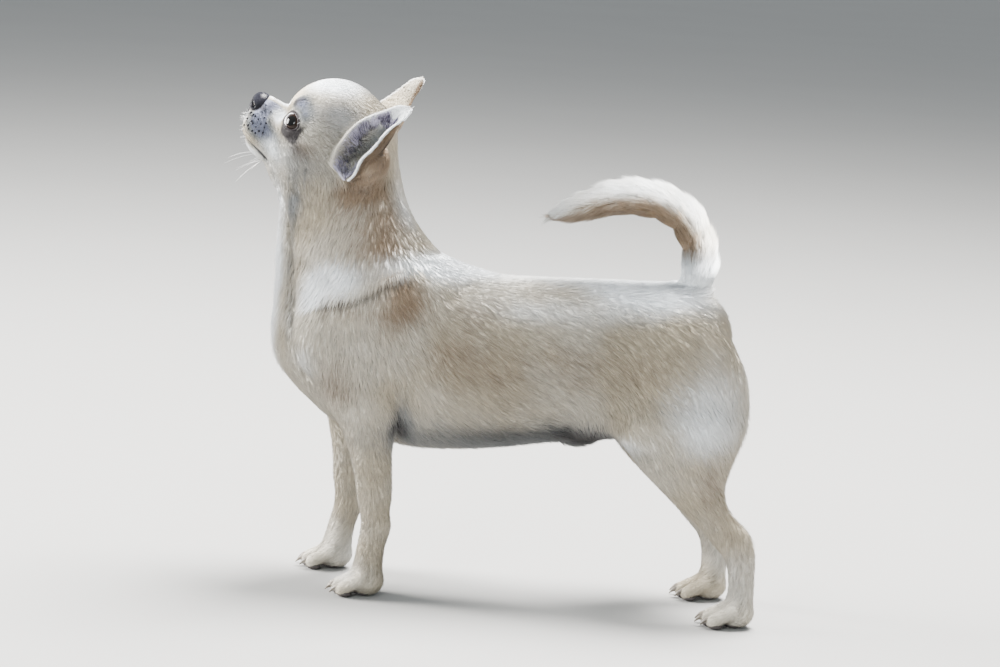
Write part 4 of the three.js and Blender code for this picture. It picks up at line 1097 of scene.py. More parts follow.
def chart(form, p):
    """Where roots lie on an unwrap of the skin: the turn about a form's middle line and the way along
    it, left and right legs and the inside and outside of each ear side by side."""
    q = to_head(p)
    x, y, z = p.T
    if form == TORSO:
        turn = np.arctan2(y, z - (torso_top(x) + torso_low(x)) / 2) / (2 * np.pi) + 0.5
        way = x
    elif form == NECK:
        turn = np.arctan2(y, x - (neck_front(z) + neck_back(z)) / 2) / (2 * np.pi) + 0.5
        way = z
    elif form in (FORE, HIND):
        lines = fore_lines if form == FORE else hind_lines
        lead, lean = (FORE_LEAD, FORE_LEAN) if form == FORE else (HIND_LEAD, HIND_LEAN)
        middle = (lines[0](z) + lines[1](z)) / 2 + lead_at(lead, lean, y, z)
        turn = np.arctan2(np.abs(y) - lines[2](z), x - middle) / (2 * np.pi) + 0.5
        turn = turn * 0.48 + 0.5 * (y > 0)
        way = z
    elif form == TAIL:
        spine, ahead, way = tail_place(p)
        out = p - spine
        turn = np.arctan2(out[:, 1], (out * np.cross(ahead, [0, 1, 0])).sum(1)) / (2 * np.pi) + 0.5
    elif form == HEAD:
        turn = np.arctan2(q[:, 1], q[:, 2]) / (2 * np.pi) + 0.5
        way = np.arccos((q[:, 0] - 12) / np.maximum(length_of(q - [12, 0, 0]), 1))
    else:
        turn, way = np.zeros(len(p)), np.zeros(len(p))
        for side in (1, -1):
            here = q[:, 1] * side > 0
            way[here], across, _, _, reach = in_ear(q[here], side)
            quarter = (reach < EAR_WALL) + 2 * (side < 0)
            turn[here] = 0.24 * np.clip(across * 0.5 + 0.5, 0, 1) + 0.25 * quarter
    low, high = way.min(), way.max()
    return np.stack([0.004 + 0.992 * turn, 0.004 + 0.992 * (way - low) / max(high - low, 1e-6)], 1)


def tuft_map(form, root, t):
    """The texture map of tufts with points at steps t: each is a patch 0.003 across at the place of its
    root on the unwrap."""
    across = np.append(np.tile([0, 1, 0.5], len(t) - 1), 0.5)
    patch = np.stack([across, np.append(np.repeat(t[:-1], 3), 1)], 1) - 0.5
    return (chart(form, root)[:, None] + 0.003 * patch).reshape(-1, 2)


def coat_roots(seed):
    """Roots spread over the skin so that each place gets its own crowd, in the order of the faces: the
    n-th root is at (n + 0.5) steps along the running sum of crowd times area."""
    points, quads, share, normal, marks = body()
    triangles = np.concatenate([quads[:, [0, 1, 2]], quads[:, [0, 2, 3]]], 1).reshape(-1, 3)
    corner = points[triangles]
    area = length_of(np.cross(corner[:, 1] - corner[:, 0], corner[:, 2] - corner[:, 0])) / 2
    middle = corner.mean(1)
    mean_share = share[triangles].mean(1)
    q = to_head(middle)
    crowd = mean_share @ CROWD
    muzzle = smooth_step((q[:, 0] - 34) / 12) * mean_share[:, HEAD]
    bare = smooth_step((marks[2][triangles].mean(1) - 0.55) / 0.25) * mean_share[:, HEAD]
    bare *= q[:, 0] > 24
    crowd = crowd * (1 + 0.9 * muzzle) * (middle[:, 2] > 1.8) * (1 - 0.8 * bare)
    crowd[nose_form(q) < 1.0] = 0
    for side in (1, -1):
        centre, turn = eye_frame(side)
        gaze = (q - centre) @ turn
        in_lids = (lid_opening(gaze, side) < 1.3) & (length_of(gaze) < EYE_RADIUS + 4)
        crowd[in_lids & (gaze[:, 0] > 0)] = 0
        near = (mean_share[:, EAR] > 0.3) & (q[:, 1] * side > 0)
        *_, reach = in_ear(q[near], side)
        crowd[np.flatnonzero(near)[reach < EAR_WALL]] *= 0.35
    running = np.cumsum(crowd * area)
    count = int(running[-1] * (1.0))
    rng = np.random.default_rng(seed)
    at = (np.arange(count) + rng.random(count)) / count * running[-1]
    face = np.searchsorted(running, at)
    u, v = np.sqrt(rng.random(count)), rng.random(count)
    weight = np.stack([1 - u, u * (1 - v), u * v], 1)
    root = (corner[face] * weight[:, :, None]).sum(1)
    root_share = (share[triangles[face]] * weight[:, :, None]).sum(1)
    root_normal = unit((normal[triangles[face]] * weight[:, :, None]).sum(1))
    return root, root_share, root_normal, rng


def locks(p, reach):
    """Which lock of hair each root is in: the nearest of the seeds that stand one to each cell of a
    grid of the given reach, at places in the cells that their own numbers give."""
    cell = np.floor(p / reach[:, None]).astype(np.int64)
    best = np.full(len(p), 1e9)
    lock = np.zeros(len(p), np.int64)
    for step in np.ndindex(3, 3, 3):
        other = cell + np.array(step) - 1
        number = other @ np.array([73856093019, 19349663317, 83492791223])
        number = number + (reach * 7919).astype(np.int64)
        number = (number ^ number >> 17) & 0xFFFFFFFFFFFF
        jitter = np.stack([(number * odd >> 9 & 1023) / 1023 for odd in (40503, 30011, 52711)], 1)
        away = length_of(p - (other + jitter) * reach[:, None])
        nearer = away < best
        best, lock = np.where(nearer, away, best), np.where(nearer, number, lock)
    return np.unique(lock, return_inverse=True)[1]


def coat_tufts():
    """Every tuft of the coat: its root, its tip over the skin and its markings. The tufts of one lock
    lie alike, and their tips draw together sideways."""
    if "tufts" in STORE:
        return STORE["tufts"]
    root, share, normal, rng = coat_roots(7)
    field = STORE["field"]
    count = len(root)
    q = to_head(root)
    flow = lie_of_coat(root, share, normal)
    side = np.cross(normal, flow)
    head = share[:, HEAD] + share[:, EAR]
    lock = locks(root, LOCK[share.argmax(1)])
    count_of = np.bincount(lock)
    lock_turn, lock_tone = rng.standard_normal(len(count_of)), rng.random(len(count_of))
    wave = np.sin(root[:, 0] / 5.1 + 1.3 * np.sin(root[:, 2] / 6.3)) * np.cos(root[:, 2] / 4.7)
    turn = np.radians(4 * wave + 6 * lock_turn[lock] + 3 * rng.standard_normal(count))
    flow = flow * np.cos(turn)[:, None] + side * np.sin(turn)[:, None]
    side = np.cross(normal, flow)
    muzzle = smooth_step((q[:, 0] - 34) / 12) * share[:, HEAD]
    eyes = np.exp(-(np.min([length_of(q - EYE_MIDDLE * [1, s, 1]) for s in (1, -1)], 0) / 13) ** 4)
    length = (share @ LENGTH) * (1 - 0.45 * muzzle) * (1 - 0.5 * eyes) * rng.uniform(0.75, 1.2, count)
    width = (share @ WIDTH) * (1 - 0.25 * muzzle) * rng.uniform(0.75, 1.25, count)
    nape = np.exp(-((root[:, 0] + 55) / 26) ** 2 - ((root[:, 2] - 207) / 28) ** 2)
    deep = (share @ DEPTH) * (1 - 0.4 * muzzle) * (1 - 0.4 * eyes) * (1 - 0.55 * nape)
    ruff = np.exp(-((root[:, 0] + 133) / 7) ** 2) * np.exp(-((root[:, 2] - 178) / 38) ** 2)
    breech = smooth_step((root[:, 0] - 122) / 14) * np.exp(-((root[:, 2] - 132) / 24) ** 2)
    belly = smooth_step((112 - root[:, 2]) / 16) * share[:, TORSO]
    spine, _, _ = tail_place(root)
    outward = np.clip((unit(root - spine) * unit(spine - TAIL_HEART)).sum(1), 0, 1)
    brush = share[:, TAIL] * outward
    length = length * (1 + 0.7 * ruff + 0.3 * brush + 0.3 * breech)
    loose = ruff * 2.0 + 0.6 * brush + 0.6 * breech + 0.4 * belly
    stand = 1 + loose * rng.uniform(0.4, 1.4, count)
    tip_height = deep * stand * rng.uniform(0.55, 1.0, count)
    tip = root + length[:, None] * flow
    drawn = np.stack([np.bincount(lock, tip[:, i]) for i in range(3)], 1) / count_of[:, None]
    gather = ((drawn[lock] - tip) * side).sum(1) * (0.6 - 0.25 * head - 0.4 * share[:, TAIL])
    gather = np.clip(gather, -1.2, 1.2)
    tip = settle(field, tip + gather[:, None] * side, tip_height, turns=1)
    tip[:, 2] = np.maximum(tip[:, 2], 0.3)
    path = np.stack([root - 0.3 * normal, tip], 1)
    ahead = unit(tip - root)
    up = unit(normal - ahead * (normal * ahead).sum(1, keepdims=True))
    side = np.cross(up, ahead)
    tan, grey, dark, white = markings(root, share)
    chance = 0.55 * rng.random(count) + 0.45 * lock_tone[lock]
    chance = 0.5 + (chance - 0.5) * (1 - 0.5 * head)
    STORE["tufts"] = {
        "path": path, "side": side, "up": up, "width": width, "share": share, "root": root,
        "marks": np.stack([tan, grey, dark], 1), "white": white, "chance": chance,
    }
    return STORE["tufts"]


def put_coat(name, material):
    """One piece of the coat, with its tufts joined in one mesh."""
    forms, low, high = COAT[name]
    tufts = coat_tufts()
    x = tufts["root"][:, 0]
    pick = np.flatnonzero(np.isin(tufts["share"].argmax(1), forms) & (x >= low) & (x < high))
    width = tufts["width"][pick, None]
    side = tufts["side"][pick, None]
    up = tufts["up"][pick, None]
    points, faces = strands(tufts["path"][pick], side, up, width, 0.4 * width)
    along_hair = np.tile([0, 0, 0, 1.0], len(pick))
    each = np.repeat(np.arange(len(pick)), 4)
    fur = np.stack([along_hair, tufts["chance"][pick][each], tufts["white"][pick][each]], 1)
    piece = put_mesh(name, points, faces, True, {"marks": tufts["marks"][pick][each], "fur": fur},
                     tuft_map(forms[0], tufts["root"][pick], np.array([0.0, 1.0])))
    piece.data.materials.append(material)
    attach(piece, "root")


# Materials

class Shade:
    """One output of a node, which takes part in sums as a number."""

    def __init__(self, paint, socket):
        self.paint = paint
        self.socket = socket

    def __add__(self, other):
        return self.paint.math("ADD", self, other)

    def __sub__(self, other):
        return self.paint.math("SUBTRACT", self, other)

    def __mul__(self, other):
        return self.paint.math("MULTIPLY", self, other)

    def __radd__(self, other):
        return self.paint.math("ADD", other, self)

    def __rsub__(self, other):
        return self.paint.math("SUBTRACT", other, self)

    def __rmul__(self, other):
        return self.paint.math("MULTIPLY", other, self)


class Paint:
    """A material whose nodes are added one at a time."""

    def __init__(self, name, **constants):
        self.material = bpy.data.materials.new(name)
        self.material.use_nodes = True
        self.tree = self.material.node_tree
        self.tree.nodes.clear()
        self.shader = self.tree.nodes.new("ShaderNodeBsdfPrincipled")
        output = self.tree.nodes.new("ShaderNodeOutputMaterial")
        self.tree.links.new(self.shader.outputs[0], output.inputs[0])
        for key, value in constants.items():
            self.shader.inputs[key.replace("_", " ")].default_value = value

    def node(self, kind, settings, sockets, output=0):
        """A node of one type, with its settings made first and then its sockets set or linked."""
        node = self.tree.nodes.new(kind)
        for key, value in settings.items():
            setattr(node, key, value)
        for key, value in sockets.items():
            self.feed(node.inputs[key], value)
        return Shade(self, node.outputs[output])

    def feed(self, socket, value):
        """Links a shade to a socket, or sets the socket's own value."""
        if isinstance(value, Shade):
            self.tree.links.new(value.socket, socket)
        else:
            socket.default_value = value

    def math(self, operation, a, b):
        """A sum of two numbers."""
        return self.node("ShaderNodeMath", {"operation": operation}, {0: a, 1: b})

    def limit(self, value, low, high, to_low=0.0, to_high=1.0):
        """A number carried from one range to another and kept in it."""
        return self.node("ShaderNodeMapRange", {"interpolation_type": "SMOOTHSTEP"},
                         {0: value, 1: low, 2: high, 3: to_low, 4: to_high})

    def blend(self, a, b, factor):
        """Two colours mixed by a factor."""
        return self.node("ShaderNodeMix", {"data_type": "RGBA"}, {0: factor, 6: a, 7: b}, 2)

    def parts(self, colour):
        """The three numbers of a colour."""
        node = self.tree.nodes.new("ShaderNodeSeparateColor")
        self.tree.links.new(colour.socket, node.inputs[0])
        return [Shade(self, node.outputs[i]) for i in range(3)]

    def attribute(self, name):
        """The three numbers of a colour attribute of the piece."""
        return self.parts(self.node("ShaderNodeAttribute", {"attribute_name": name}, {}))

    def place(self):
        """Object coordinates in metres."""
        return self.node("ShaderNodeTexCoord", {}, {}, 3)

    def noise(self, scale, detail=2.0, roughness=0.5):
        """Smooth noise from 0 to 1 at a number of grains to the metre."""
        return self.node("ShaderNodeTexNoise", {}, {"Vector": self.place(), "Scale": scale,
                                                    "Detail": detail, "Roughness": roughness})

    def bump(self, height, distance, strength):
        """A normal from a height in metres."""
        return self.node("ShaderNodeBump", {}, {"Height": height, "Distance": distance,
                                                "Strength": strength})

    def finish(self, **sockets):
        """Feeds the shader's sockets and gives back the material."""
        for key, value in sockets.items():
            self.feed(self.shader.inputs[key.replace("_", " ")], value)
        return self.material


def grained(name, first, second, scale, detail, height=0, strength=0, **constants):
    """A material between two colours by a fine grain, with the grain as bump where it has a height."""
    paint = Paint(name, **constants)
    grain = paint.noise(scale, detail)
    colour = paint.blend(first, second, grain)
    if not height:
        return paint.finish(Base_Color=colour)
    return paint.finish(Base_Color=colour, Normal=paint.bump(grain, height, strength))


def coat_colour(paint, colours, along_hair, chance, white):
    """Cream, then tan, grey, white and dark by the markings, darker at the roots than at the tips as
    painted shade, as if the hair over each root shadows it.
    """
    tan, grey, dark = paint.attribute("marks")
    patch = paint.noise(55, 3, 0.55)
    broad = paint.limit(paint.noise(19, 2, 0.5), 0.38, 0.64)
    fleck = paint.noise(420, 2, 0.6)
    tan = paint.limit(tan + (patch - 0.5) * 0.6 + (0.5 - chance) * 0.4, 0.05, 1.0)
    slate = paint.limit(grey, 1.0, 1.6)
    grey = paint.limit(grey + (patch - 0.5) * 0.3 + (0.5 - chance) * 0.3, 0.05, 0.95)
    dark = paint.limit(dark + (chance - 0.5) * 0.25, 0.15, 0.8)
    white = paint.limit(white + (patch - 0.5) * 0.3, 0.1, 0.9)
    colour = paint.blend(tuple(colours.cream), tuple(colours.pale), broad * 0.7)
    colour = paint.blend(colour, tuple(colours.tan), tan)
    colour = paint.blend(colour, tuple(colours.grey), grey)
    colour = paint.blend(colour, tuple(colours.slate), slate)
    colour = paint.blend(colour, tuple(colours.white), white)
    colour = paint.blend(colour, tuple(colours.dark), dark)
    # Painted shade: each tuft is darker at its root than at its tip, and lightened again where the hair
    # is white. The lock's chance and the flecks vary the tone at random.
    shade = (0.8 + 0.28 * along_hair) * paint.limit(chance, -0.25, 0.95, 0.6, 1.14)
    shade = shade * (0.93 + 0.14 * fleck)
    shade = shade + (1.02 - shade) * 0.5 * white
    return paint.node("ShaderNodeVectorMath", {"operation": "SCALE"}, {0: colour, 3: shade})


def coat_material():
    """Hair: matt, in the coat's colours."""
    paint = Paint("coat_hair", Roughness=0.62, Specular_IOR_Level=0.22, Sheen_Weight=0.12,
                  Sheen_Roughness=0.4)
    along_hair, chance, white = paint.attribute("fur")
    return paint.finish(Base_Color=coat_colour(paint, bpy.context.scene.dog_colours, along_hair,
                                               chance, white))


def skin_material():
    """Skin under short hair: the coat's colours with the painted shade of the hair's roots, and fine
    hair as bump.
    """
    paint = Paint("skin", Roughness=0.65, Specular_IOR_Level=0.2)
    _, _, white = paint.attribute("fur")
    grain = paint.noise(1400, 3, 0.6)
    # The skin is shaded like the roots of the tufts: painted shade.
    colour = coat_colour(paint, bpy.context.scene.dog_colours, 0.3 * grain, grain, white)
    return paint.finish(Base_Color=colour, Normal=paint.bump(grain, 0.0006, 0.7))


# Settings

def length_setting(name, value, description):
    """A length in metres that a user can change."""
    return bpy.props.FloatProperty(name=name, default=value, subtype="DISTANCE", unit="LENGTH",
                                   description=description)


def colour_setting(name, value, description):
    """A colour that a user can change."""
    return bpy.props.FloatVectorProperty(name=name, subtype="COLOR", size=4, min=0, max=1,
                                         default=value, description=description)


class DogColours(bpy.types.PropertyGroup):
    """Colours of the dog."""

    # Besides the coat's own colours, tan, grey, slate and dark also carry painted shade below the ear,
    # on the belly, at the elbows, down the front of the neck, in creases and in the hollows of the
    # ears, and white carries painted highlight along the top of the back.
    cream: colour_setting("Cream", (0.465, 0.405, 0.305, 1), "Most of the coat")
    pale: colour_setting("Pale cream", (0.60, 0.568, 0.50, 1), "Broad lighter places in the coat")
    tan: colour_setting("Tan", (0.235, 0.165, 0.107, 1), "Patches on neck, withers, ribs and ears")
    grey: colour_setting("Grey", (0.2, 0.208, 0.212, 1), "Belly, elbows and the front of the neck")
    slate: colour_setting("Slate", (0.18, 0.195, 0.27, 1), "Muzzle and the hollows of the ears")
    white: colour_setting("White", (0.855, 0.89, 0.925, 1), "Chest, tail and thighs")
    dark: colour_setting("Dark", (0.014, 0.011, 0.012, 1), "Lids, lips and the patch below each eye")
    leather: colour_setting("Nose leather", (0.005, 0.005, 0.007, 1), "Nose and pads")
    iris: colour_setting("Iris", (0.009, 0.0045, 0.003, 1), "Ring round the pupil")
    claw: colour_setting("Claw", (0.09, 0.075, 0.06, 1), "Claws")


class DogSizes(bpy.types.PropertyGroup):
    """Sizes of the finer pieces, and the lens."""

    lid_rim: length_setting("Lid rim", 0.0006, "Radius of the dark edge of the lids")
    lip: length_setting("Lip", 0.0007, "Radius of the dark lip line")
    whisker: length_setting("Whisker", 0.018, "Length of the longest whiskers")
    lens: bpy.props.FloatProperty(name="Lens", default=100.0, description="Camera lens in millimetres")


# Pieces

class DOG_OT_skin(bpy.types.Operator):
    """Builds the skin over the whole body"""

    bl_idname = "dog.skin"
    bl_label = "Skin"

    def execute(self, context):
        points, quads, _, _, (tan, grey, dark, white) = body()
        fur = np.stack([0 * white, 0 * white, white], 1)
        piece = put_mesh("skin", points, quads, True,
                         {"marks": np.stack([tan, grey, dark], 1), "fur": fur})
        piece.data.materials.append(skin_material())
        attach(piece, "root")
        flesh = [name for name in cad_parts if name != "nose" and not name.startswith("eye_")]
        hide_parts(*flesh)
        return {"FINISHED"}


class DOG_OT_coat(bpy.types.Operator):
    """Lays the short coat over the skin, piece by piece"""

    bl_idname = "dog.coat"
    bl_label = "Coat"

    def execute(self, context):
        material = coat_material()
        for name in COAT:
            put_coat(name, material)
        return {"FINISHED"}


class DOG_OT_eyes(bpy.types.Operator):
    """Builds the eyes with their irises, and the dark rims of the lids"""

    bl_idname = "dog.eyes"
    bl_label = "Eyes"

    def execute(self, context):
        balls, rims, wets, ring = [], [], [], []
        for side in (1, -1):
            middle, turn = eye_frame(side)
            axes = turn.T
            _, faces, unit_points = globe(np.zeros(3), np.ones(3), np.eye(3), 48, 64)
            centre = unit(np.array([np.cos(0.16), 0.11 * side, 0.1]))
            angle = np.arccos(np.clip(unit_points @ centre, -1, 1))
            radius = EYE_RADIUS - 0.25 + 0.75 * smooth_step((0.72 - angle) / 0.4)
            balls.append((from_head(middle + (unit_points * radius[:, None]) @ axes), faces))
            ring.append(np.stack([angle / np.pi, np.arctan2(unit_points[:, 2], unit_points[:, 1])
                                  / (2 * np.pi) + 0.5], 1))
            steps = 72
            turn_about = np.linspace(0, 2 * np.pi, steps, endpoint=False)
            low, high = np.zeros(steps), np.full(steps, 1.4)
            for _ in range(24):
                polar = (low + high) / 2
                way = gaze_way(polar, turn_about)
                inside = lid_opening(way * (EYE_RADIUS + 0.55), side) < 0
                low, high = np.where(inside, polar, low), np.where(inside, high, polar)
            edge = from_head(middle + (way * (EYE_RADIUS + 0.5)) @ axes)
            rim = context.scene.dog_sizes.lid_rim / MM
            rims.append(tube(edge, rim, 10, closed=True, flat=0.8, up=(way @ axes) @ HEAD_AXES))
            start = np.pi * (0.5 + 0.12 * side)
            wet_steps = 40
            turn_about = start + side * np.linspace(0, 0.95 * np.pi, wet_steps)
            polar = np.interp(turn_about % (2 * np.pi), np.linspace(0, 2 * np.pi, steps + 1),
                              np.append(polar, polar[0])) - 0.085
            way = gaze_way(polar, turn_about)
            edge = from_head(middle + (way * (EYE_RADIUS + 0.12)) @ axes)
            thick = 0.45 * np.sin(np.pi * np.linspace(0.04, 0.96, wet_steps)) ** 0.7
            wets.append(tube(edge, thick, 8, flat=0.8, up=(way @ axes) @ HEAD_AXES))
        points, faces = merged(balls)
        piece = put_mesh("eyes", points, faces, True, {"ring": np.concatenate(ring)})
        piece.data.materials.append(self.eye_material(context.scene.dog_colours))
        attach(piece, "root")
        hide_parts("eye_left", "eye_right")
        points, faces = merged(rims)
        piece = put_mesh("lid_rims", points, faces)
        piece.data.materials.append(grained(
            "lid_rim", (0.008, 0.006, 0.007, 1), (0.024, 0.018, 0.02, 1), 900, 3, 0.0002, 0.5,
            Roughness=0.45, Specular_IOR_Level=0.15))
        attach(piece, "root")
        points, faces = merged(wets)
        piece = put_mesh("tear_lines", points, faces)
        piece.data.materials.append(grained(
            "tear_line", (0.8, 0.76, 0.78, 1), (0.95, 0.93, 0.95, 1), 700, 2,
            Roughness=0.1, Coat_Weight=1.0, Coat_Roughness=0.03))
        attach(piece, "root")
        return {"FINISHED"}

    @staticmethod
    def eye_material(colours):
        """Pupil, streaked iris, dark limbus and pale white of the eye, under a wet clear coat."""
        paint = Paint("eye", Roughness=0.3, Specular_IOR_Level=0.0, Coat_Weight=1.0,
                      Coat_Roughness=0.02, Coat_IOR=1.27)
        away, _, _ = paint.attribute("ring")
        iris = paint.blend(tuple(colours.iris), (0.016, 0.008, 0.0055, 1), paint.noise(1500))
        colour = paint.blend((0.003, 0.003, 0.003, 1), iris, paint.limit(away, 0.1, 0.13))
        colour = paint.blend(colour, (0.005, 0.004, 0.004, 1), paint.limit(away, 0.2, 0.225))
        colour = paint.blend(colour, (0.013, 0.01, 0.011, 1), paint.limit(away, 0.27, 0.31))
        return paint.finish(Base_Color=colour)


class DOG_OT_nose(bpy.types.Operator):
    """Builds the nose leather with its nostrils, and the dark line of the lips"""

    bl_idname = "dog.nose"
    bl_label = "Nose and lips"

    def execute(self, context):
        def field(p):
            q = to_head(p)
            m = folded(q)
            form = nose_form(q)
            nostril = bone(m, [67, 3.6, -6.6], [59, 4.8, -6.6], 1.8, 1.2)
            slit = bone(m, [65, 4.6, -5.6], [61.2, 7.6, -7.6], 0.8, 0.8)
            form = clip(form, -join(nostril, slit, 1.2), 0.9)
            groove = np.exp(-(m[:, 1] / 0.55) ** 2) * smooth_step((m[:, 0] - 58) / 3)
            return form + 0.55 * groove

        fine = 0.45
        low, high = from_head([58, 0, -6]) - 13, from_head([58, 0, -6]) + 13
        lines = [np.arange(low[i], high[i], fine) for i in range(3)]
        points, quads = surface(field, lines, band=2)
        points = relax(field, settle(field, points), quads, 2)
        piece = put_mesh("nose_leather", points, quads)
        colours = context.scene.dog_colours
        paint = Paint("nose_leather", Roughness=0.4, Specular_IOR_Level=0.12)
        cells = paint.node("ShaderNodeTexVoronoi", {"feature": "DISTANCE_TO_EDGE"},
                           {"Vector": paint.place(), "Scale": 1900})
        grain = paint.limit(cells, 0.0, 0.3)
        dust = paint.noise(500, 3)
        colour = paint.blend(tuple(colours.leather), (0.016, 0.016, 0.022, 1), dust)
        piece.data.materials.append(paint.finish(
            Base_Color=colour, Roughness=0.2 + 0.12 * dust, Normal=paint.bump(grain, 0.00005, 0.6)))
        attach(piece, "root")
        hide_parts("nose")

        turn = np.radians(np.linspace(-110, 110, 90))
        way = np.abs(turn) / MOUTH_TURN
        height = mouth_height(way)
        place, _ = on_face(np.abs(turn), height, 1, 0.15)
        place[:, 1] = np.abs(place[:, 1]) * np.sign(turn)
        lip = context.scene.dog_sizes.lip / MM
        radius = lip * (0.7 + 0.6 * way) * np.minimum(1, 0.25 + 6 * (1 - way))
        points, faces = tube(from_head(place), radius, 8, flat=0.8)
        piece = put_mesh("lips", points, faces)
        piece.data.materials.append(grained(
            "lip", (0.012, 0.011, 0.012, 1), (0.04, 0.036, 0.04, 1), 800, 3, 0.0003, 0.6,
            Roughness=0.34, Specular_IOR_Level=0.5))
        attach(piece, "root")
        return {"FINISHED"}


class DOG_OT_whiskers(bpy.types.Operator):
    """Grows whiskers on lips, chin and cheeks, and the long pale hair in front of each ear"""

    bl_idname = "dog.whiskers"
    bl_label = "Whiskers and ear hair"

    def execute(self, context):
        body()
        rng = np.random.default_rng(21)
        beds, hairs = [], []
        for side in (1, -1):
            self.lip_hairs(side, rng, beds, hairs)
            self.cheek_hairs(side, rng, context.scene.dog_sizes.whisker / MM, hairs)
            self.lashes(side, rng, hairs)
        points, faces = merged(beds)
        piece = put_mesh("whisker_beds", points, faces)
        piece.data.materials.append(grained(
            "whisker_bed", (0.005, 0.005, 0.007, 1), (0.02, 0.02, 0.026, 1), 1500, 2,
            Roughness=0.8, Specular_IOR_Level=0.05))
        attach(piece, "root")
        self.grow("whiskers", hairs)
        self.ear_hair(rng)
        return {"FINISHED"}

    @staticmethod
    def lip_hairs(side, rng, beds, hairs):
        """Dark beds and short dark hairs on the lip, then pale ones on the lip and the chin. A hair is
        its root, its way, its length and thickness, and how pale it is."""
        for place in STORE["whiskers"][side]:
            out = unit(place - [MOUTH_HEART, 0, -12])
            axes = np.stack([out, unit(np.cross([0, 0, 1], out)), np.zeros(3)])
            axes[2] = np.cross(axes[0], axes[1])
            wide = rng.uniform(0.38, 0.74)
            beds.append(globe(from_head(place + 0.12 * out), [0.5, wide, wide * 1.2],
                              axes @ HEAD_AXES, 8, 10)[:2])
            for _ in range(2):
                hairs.append((place + 0.2 * out + rng.normal(0, 0.3, 3),
                              out * 0.5 + [-0.35, 0, -0.75] + rng.normal(0, 0.12, 3),
                              rng.uniform(2.0, 4.2), 0.2, 0.0))
        count = 26
        angle = np.radians(rng.uniform(2, 42, count))
        place, out = on_face(angle, rng.uniform(-30, -12.5, count), side)
        ways = out + [0.3, 0, -0.15] + rng.normal(0, 0.12, (count, 3))
        hairs += zip(place, ways, rng.uniform(1.5, 4.5, count), [0.22] * count, [1.0] * count)

    @staticmethod
    def cheek_hairs(side, rng, longest, hairs):
        """Long pale whiskers on lip and chin, and two groups of three dark ones on the cheek."""
        for angle, height, way, share in (
                (30, -34, (0.75, 0.25, -0.5), 1.0), (62, -34.5, (0.6, 0.25, -0.75), 0.55),
                (75, -36, (0.75, 0.2, -0.62), 0.9), (85, -37, (0.5, 0.2, -0.85), 0.95),
                (100, -36.5, (0.45, 0.3, -0.85), 0.4)):
            place, _ = on_face([np.radians(angle)], np.array([float(height)]), side)
            hairs.append((place[0], np.array(way) * [1, side, 1], longest * share, 0.24, 1.0))
        for place, length in (([23.1, 24.6, -28.5], 10.5), ([17, 31.4, -17.6], 14.5)):
            for k in range(3):
                hairs.append((np.array(place) * [1, side, 1] + [0.25 * k, 0, -0.6 * k],
                              np.array([-0.42, 0.12 * side, -0.9]) + rng.normal(0, 0.03, 3),
                              length * (1.1 - 0.3 * k), 0.3, 0.12))

    @staticmethod
    def lashes(side, rng, hairs):
        """Short lashes along the upper lid."""
        count = 9
        middle, turn = eye_frame(side)
        angle = np.pi / 2 - side * rng.uniform(0.05, 0.36, count) * np.pi
        out = gaze_way(rng.uniform(0.72, 0.95, count), angle)
        inward = np.stack([np.full(count, 0.6), -0.4 * np.cos(angle), -0.9 - 0.2 * np.sin(angle)], 1)
        ways = inward @ turn.T + rng.normal(0, 0.16, (count, 3))
        hairs += zip(middle + (out * (EYE_RADIUS + 1.2)) @ turn.T, ways,
                     rng.uniform(1.2, 2.4, count), [0.17] * count, [0.6] * count)

    @staticmethod
    def ear_hair(rng):
        """Pale hair in locks in each ear, from its front edge and its hollow up along the wall."""
        rows, tones = [], []
        for side in (1, -1):
            count, each = (62), 17
            total = count * each
            lock_u = rng.uniform(0.0, 0.82, count)
            edge = rng.random(count) < 0.72
            lock_start = np.where(edge, rng.uniform(0.0, 0.4, count), rng.uniform(0.5, 1.9, count))
            lock_reach = rng.uniform(6.0, 10.5, count) * (1 - 0.35 * (lock_u > 0.5))
            lock_drift = rng.uniform(-0.13, -0.01, count)
            lock_lift = rng.uniform(0.4, 1.5, count)
            lock_tone = rng.uniform(0.15, 1.0, count)
            u = np.repeat(lock_u, each) + 0.03 * rng.standard_normal(total)
            start = np.clip(np.repeat(lock_start, each) + 0.1 * rng.standard_normal(total), 0, 3)
            reach = np.repeat(lock_reach, each) * rng.uniform(0.75, 1.1, total)
            span = reach / np.maximum(along(EARS[side], "half", u) + 2, 4)
            end_u = np.repeat(lock_u + lock_drift, each) + 0.3 * (u - np.repeat(lock_u, each))
            lift = np.repeat(lock_lift, each) * rng.uniform(0.7, 1.2, total)
            t = np.linspace(0, 1, 5)
            rows.append(np.stack([
                ear_inside(side, u + (end_u - u) * k ** 1.3, start + span * k,
                           0.1 + lift * np.sin(2.3 * k)) for k in t], 1))
            tones.append(np.repeat(lock_tone, each) + 0.12 * rng.standard_normal(total))
        path = from_head(np.concatenate(rows))
        ahead = unit(path[:, -1] - path[:, 0])
        out = np.repeat([EARS[1]["opens"][120], EARS[-1]["opens"][120]], len(path) // 2, 0) @ HEAD_AXES
        sideways = unit(np.cross(out, ahead))
        thin = 0.33 * rng.uniform(0.7, 1.3, len(path))[:, None] * (1 - 0.5 * t[:-1])
        up = np.cross(ahead, sideways)
        points, faces = strands(path, sideways[:, None], up[:, None], thin, 0.6 * thin)
        corners = 3 * (len(t) - 1) + 1
        tone = np.repeat(np.clip(np.concatenate(tones), 0, 1), corners)
        along_hair = np.tile(np.append(np.repeat(t[:-1], 3), 1), len(path))
        piece = put_mesh("ear_hair", points, faces, True, {"fur": np.stack([along_hair, tone], 1)},
                         tuft_map(EAR, path[:, 0], t))
        paint = Paint("ear_hair", Roughness=0.6, Specular_IOR_Level=0.3)
        length, chance, _ = paint.attribute("fur")
        shade = paint.noise(300, 2)
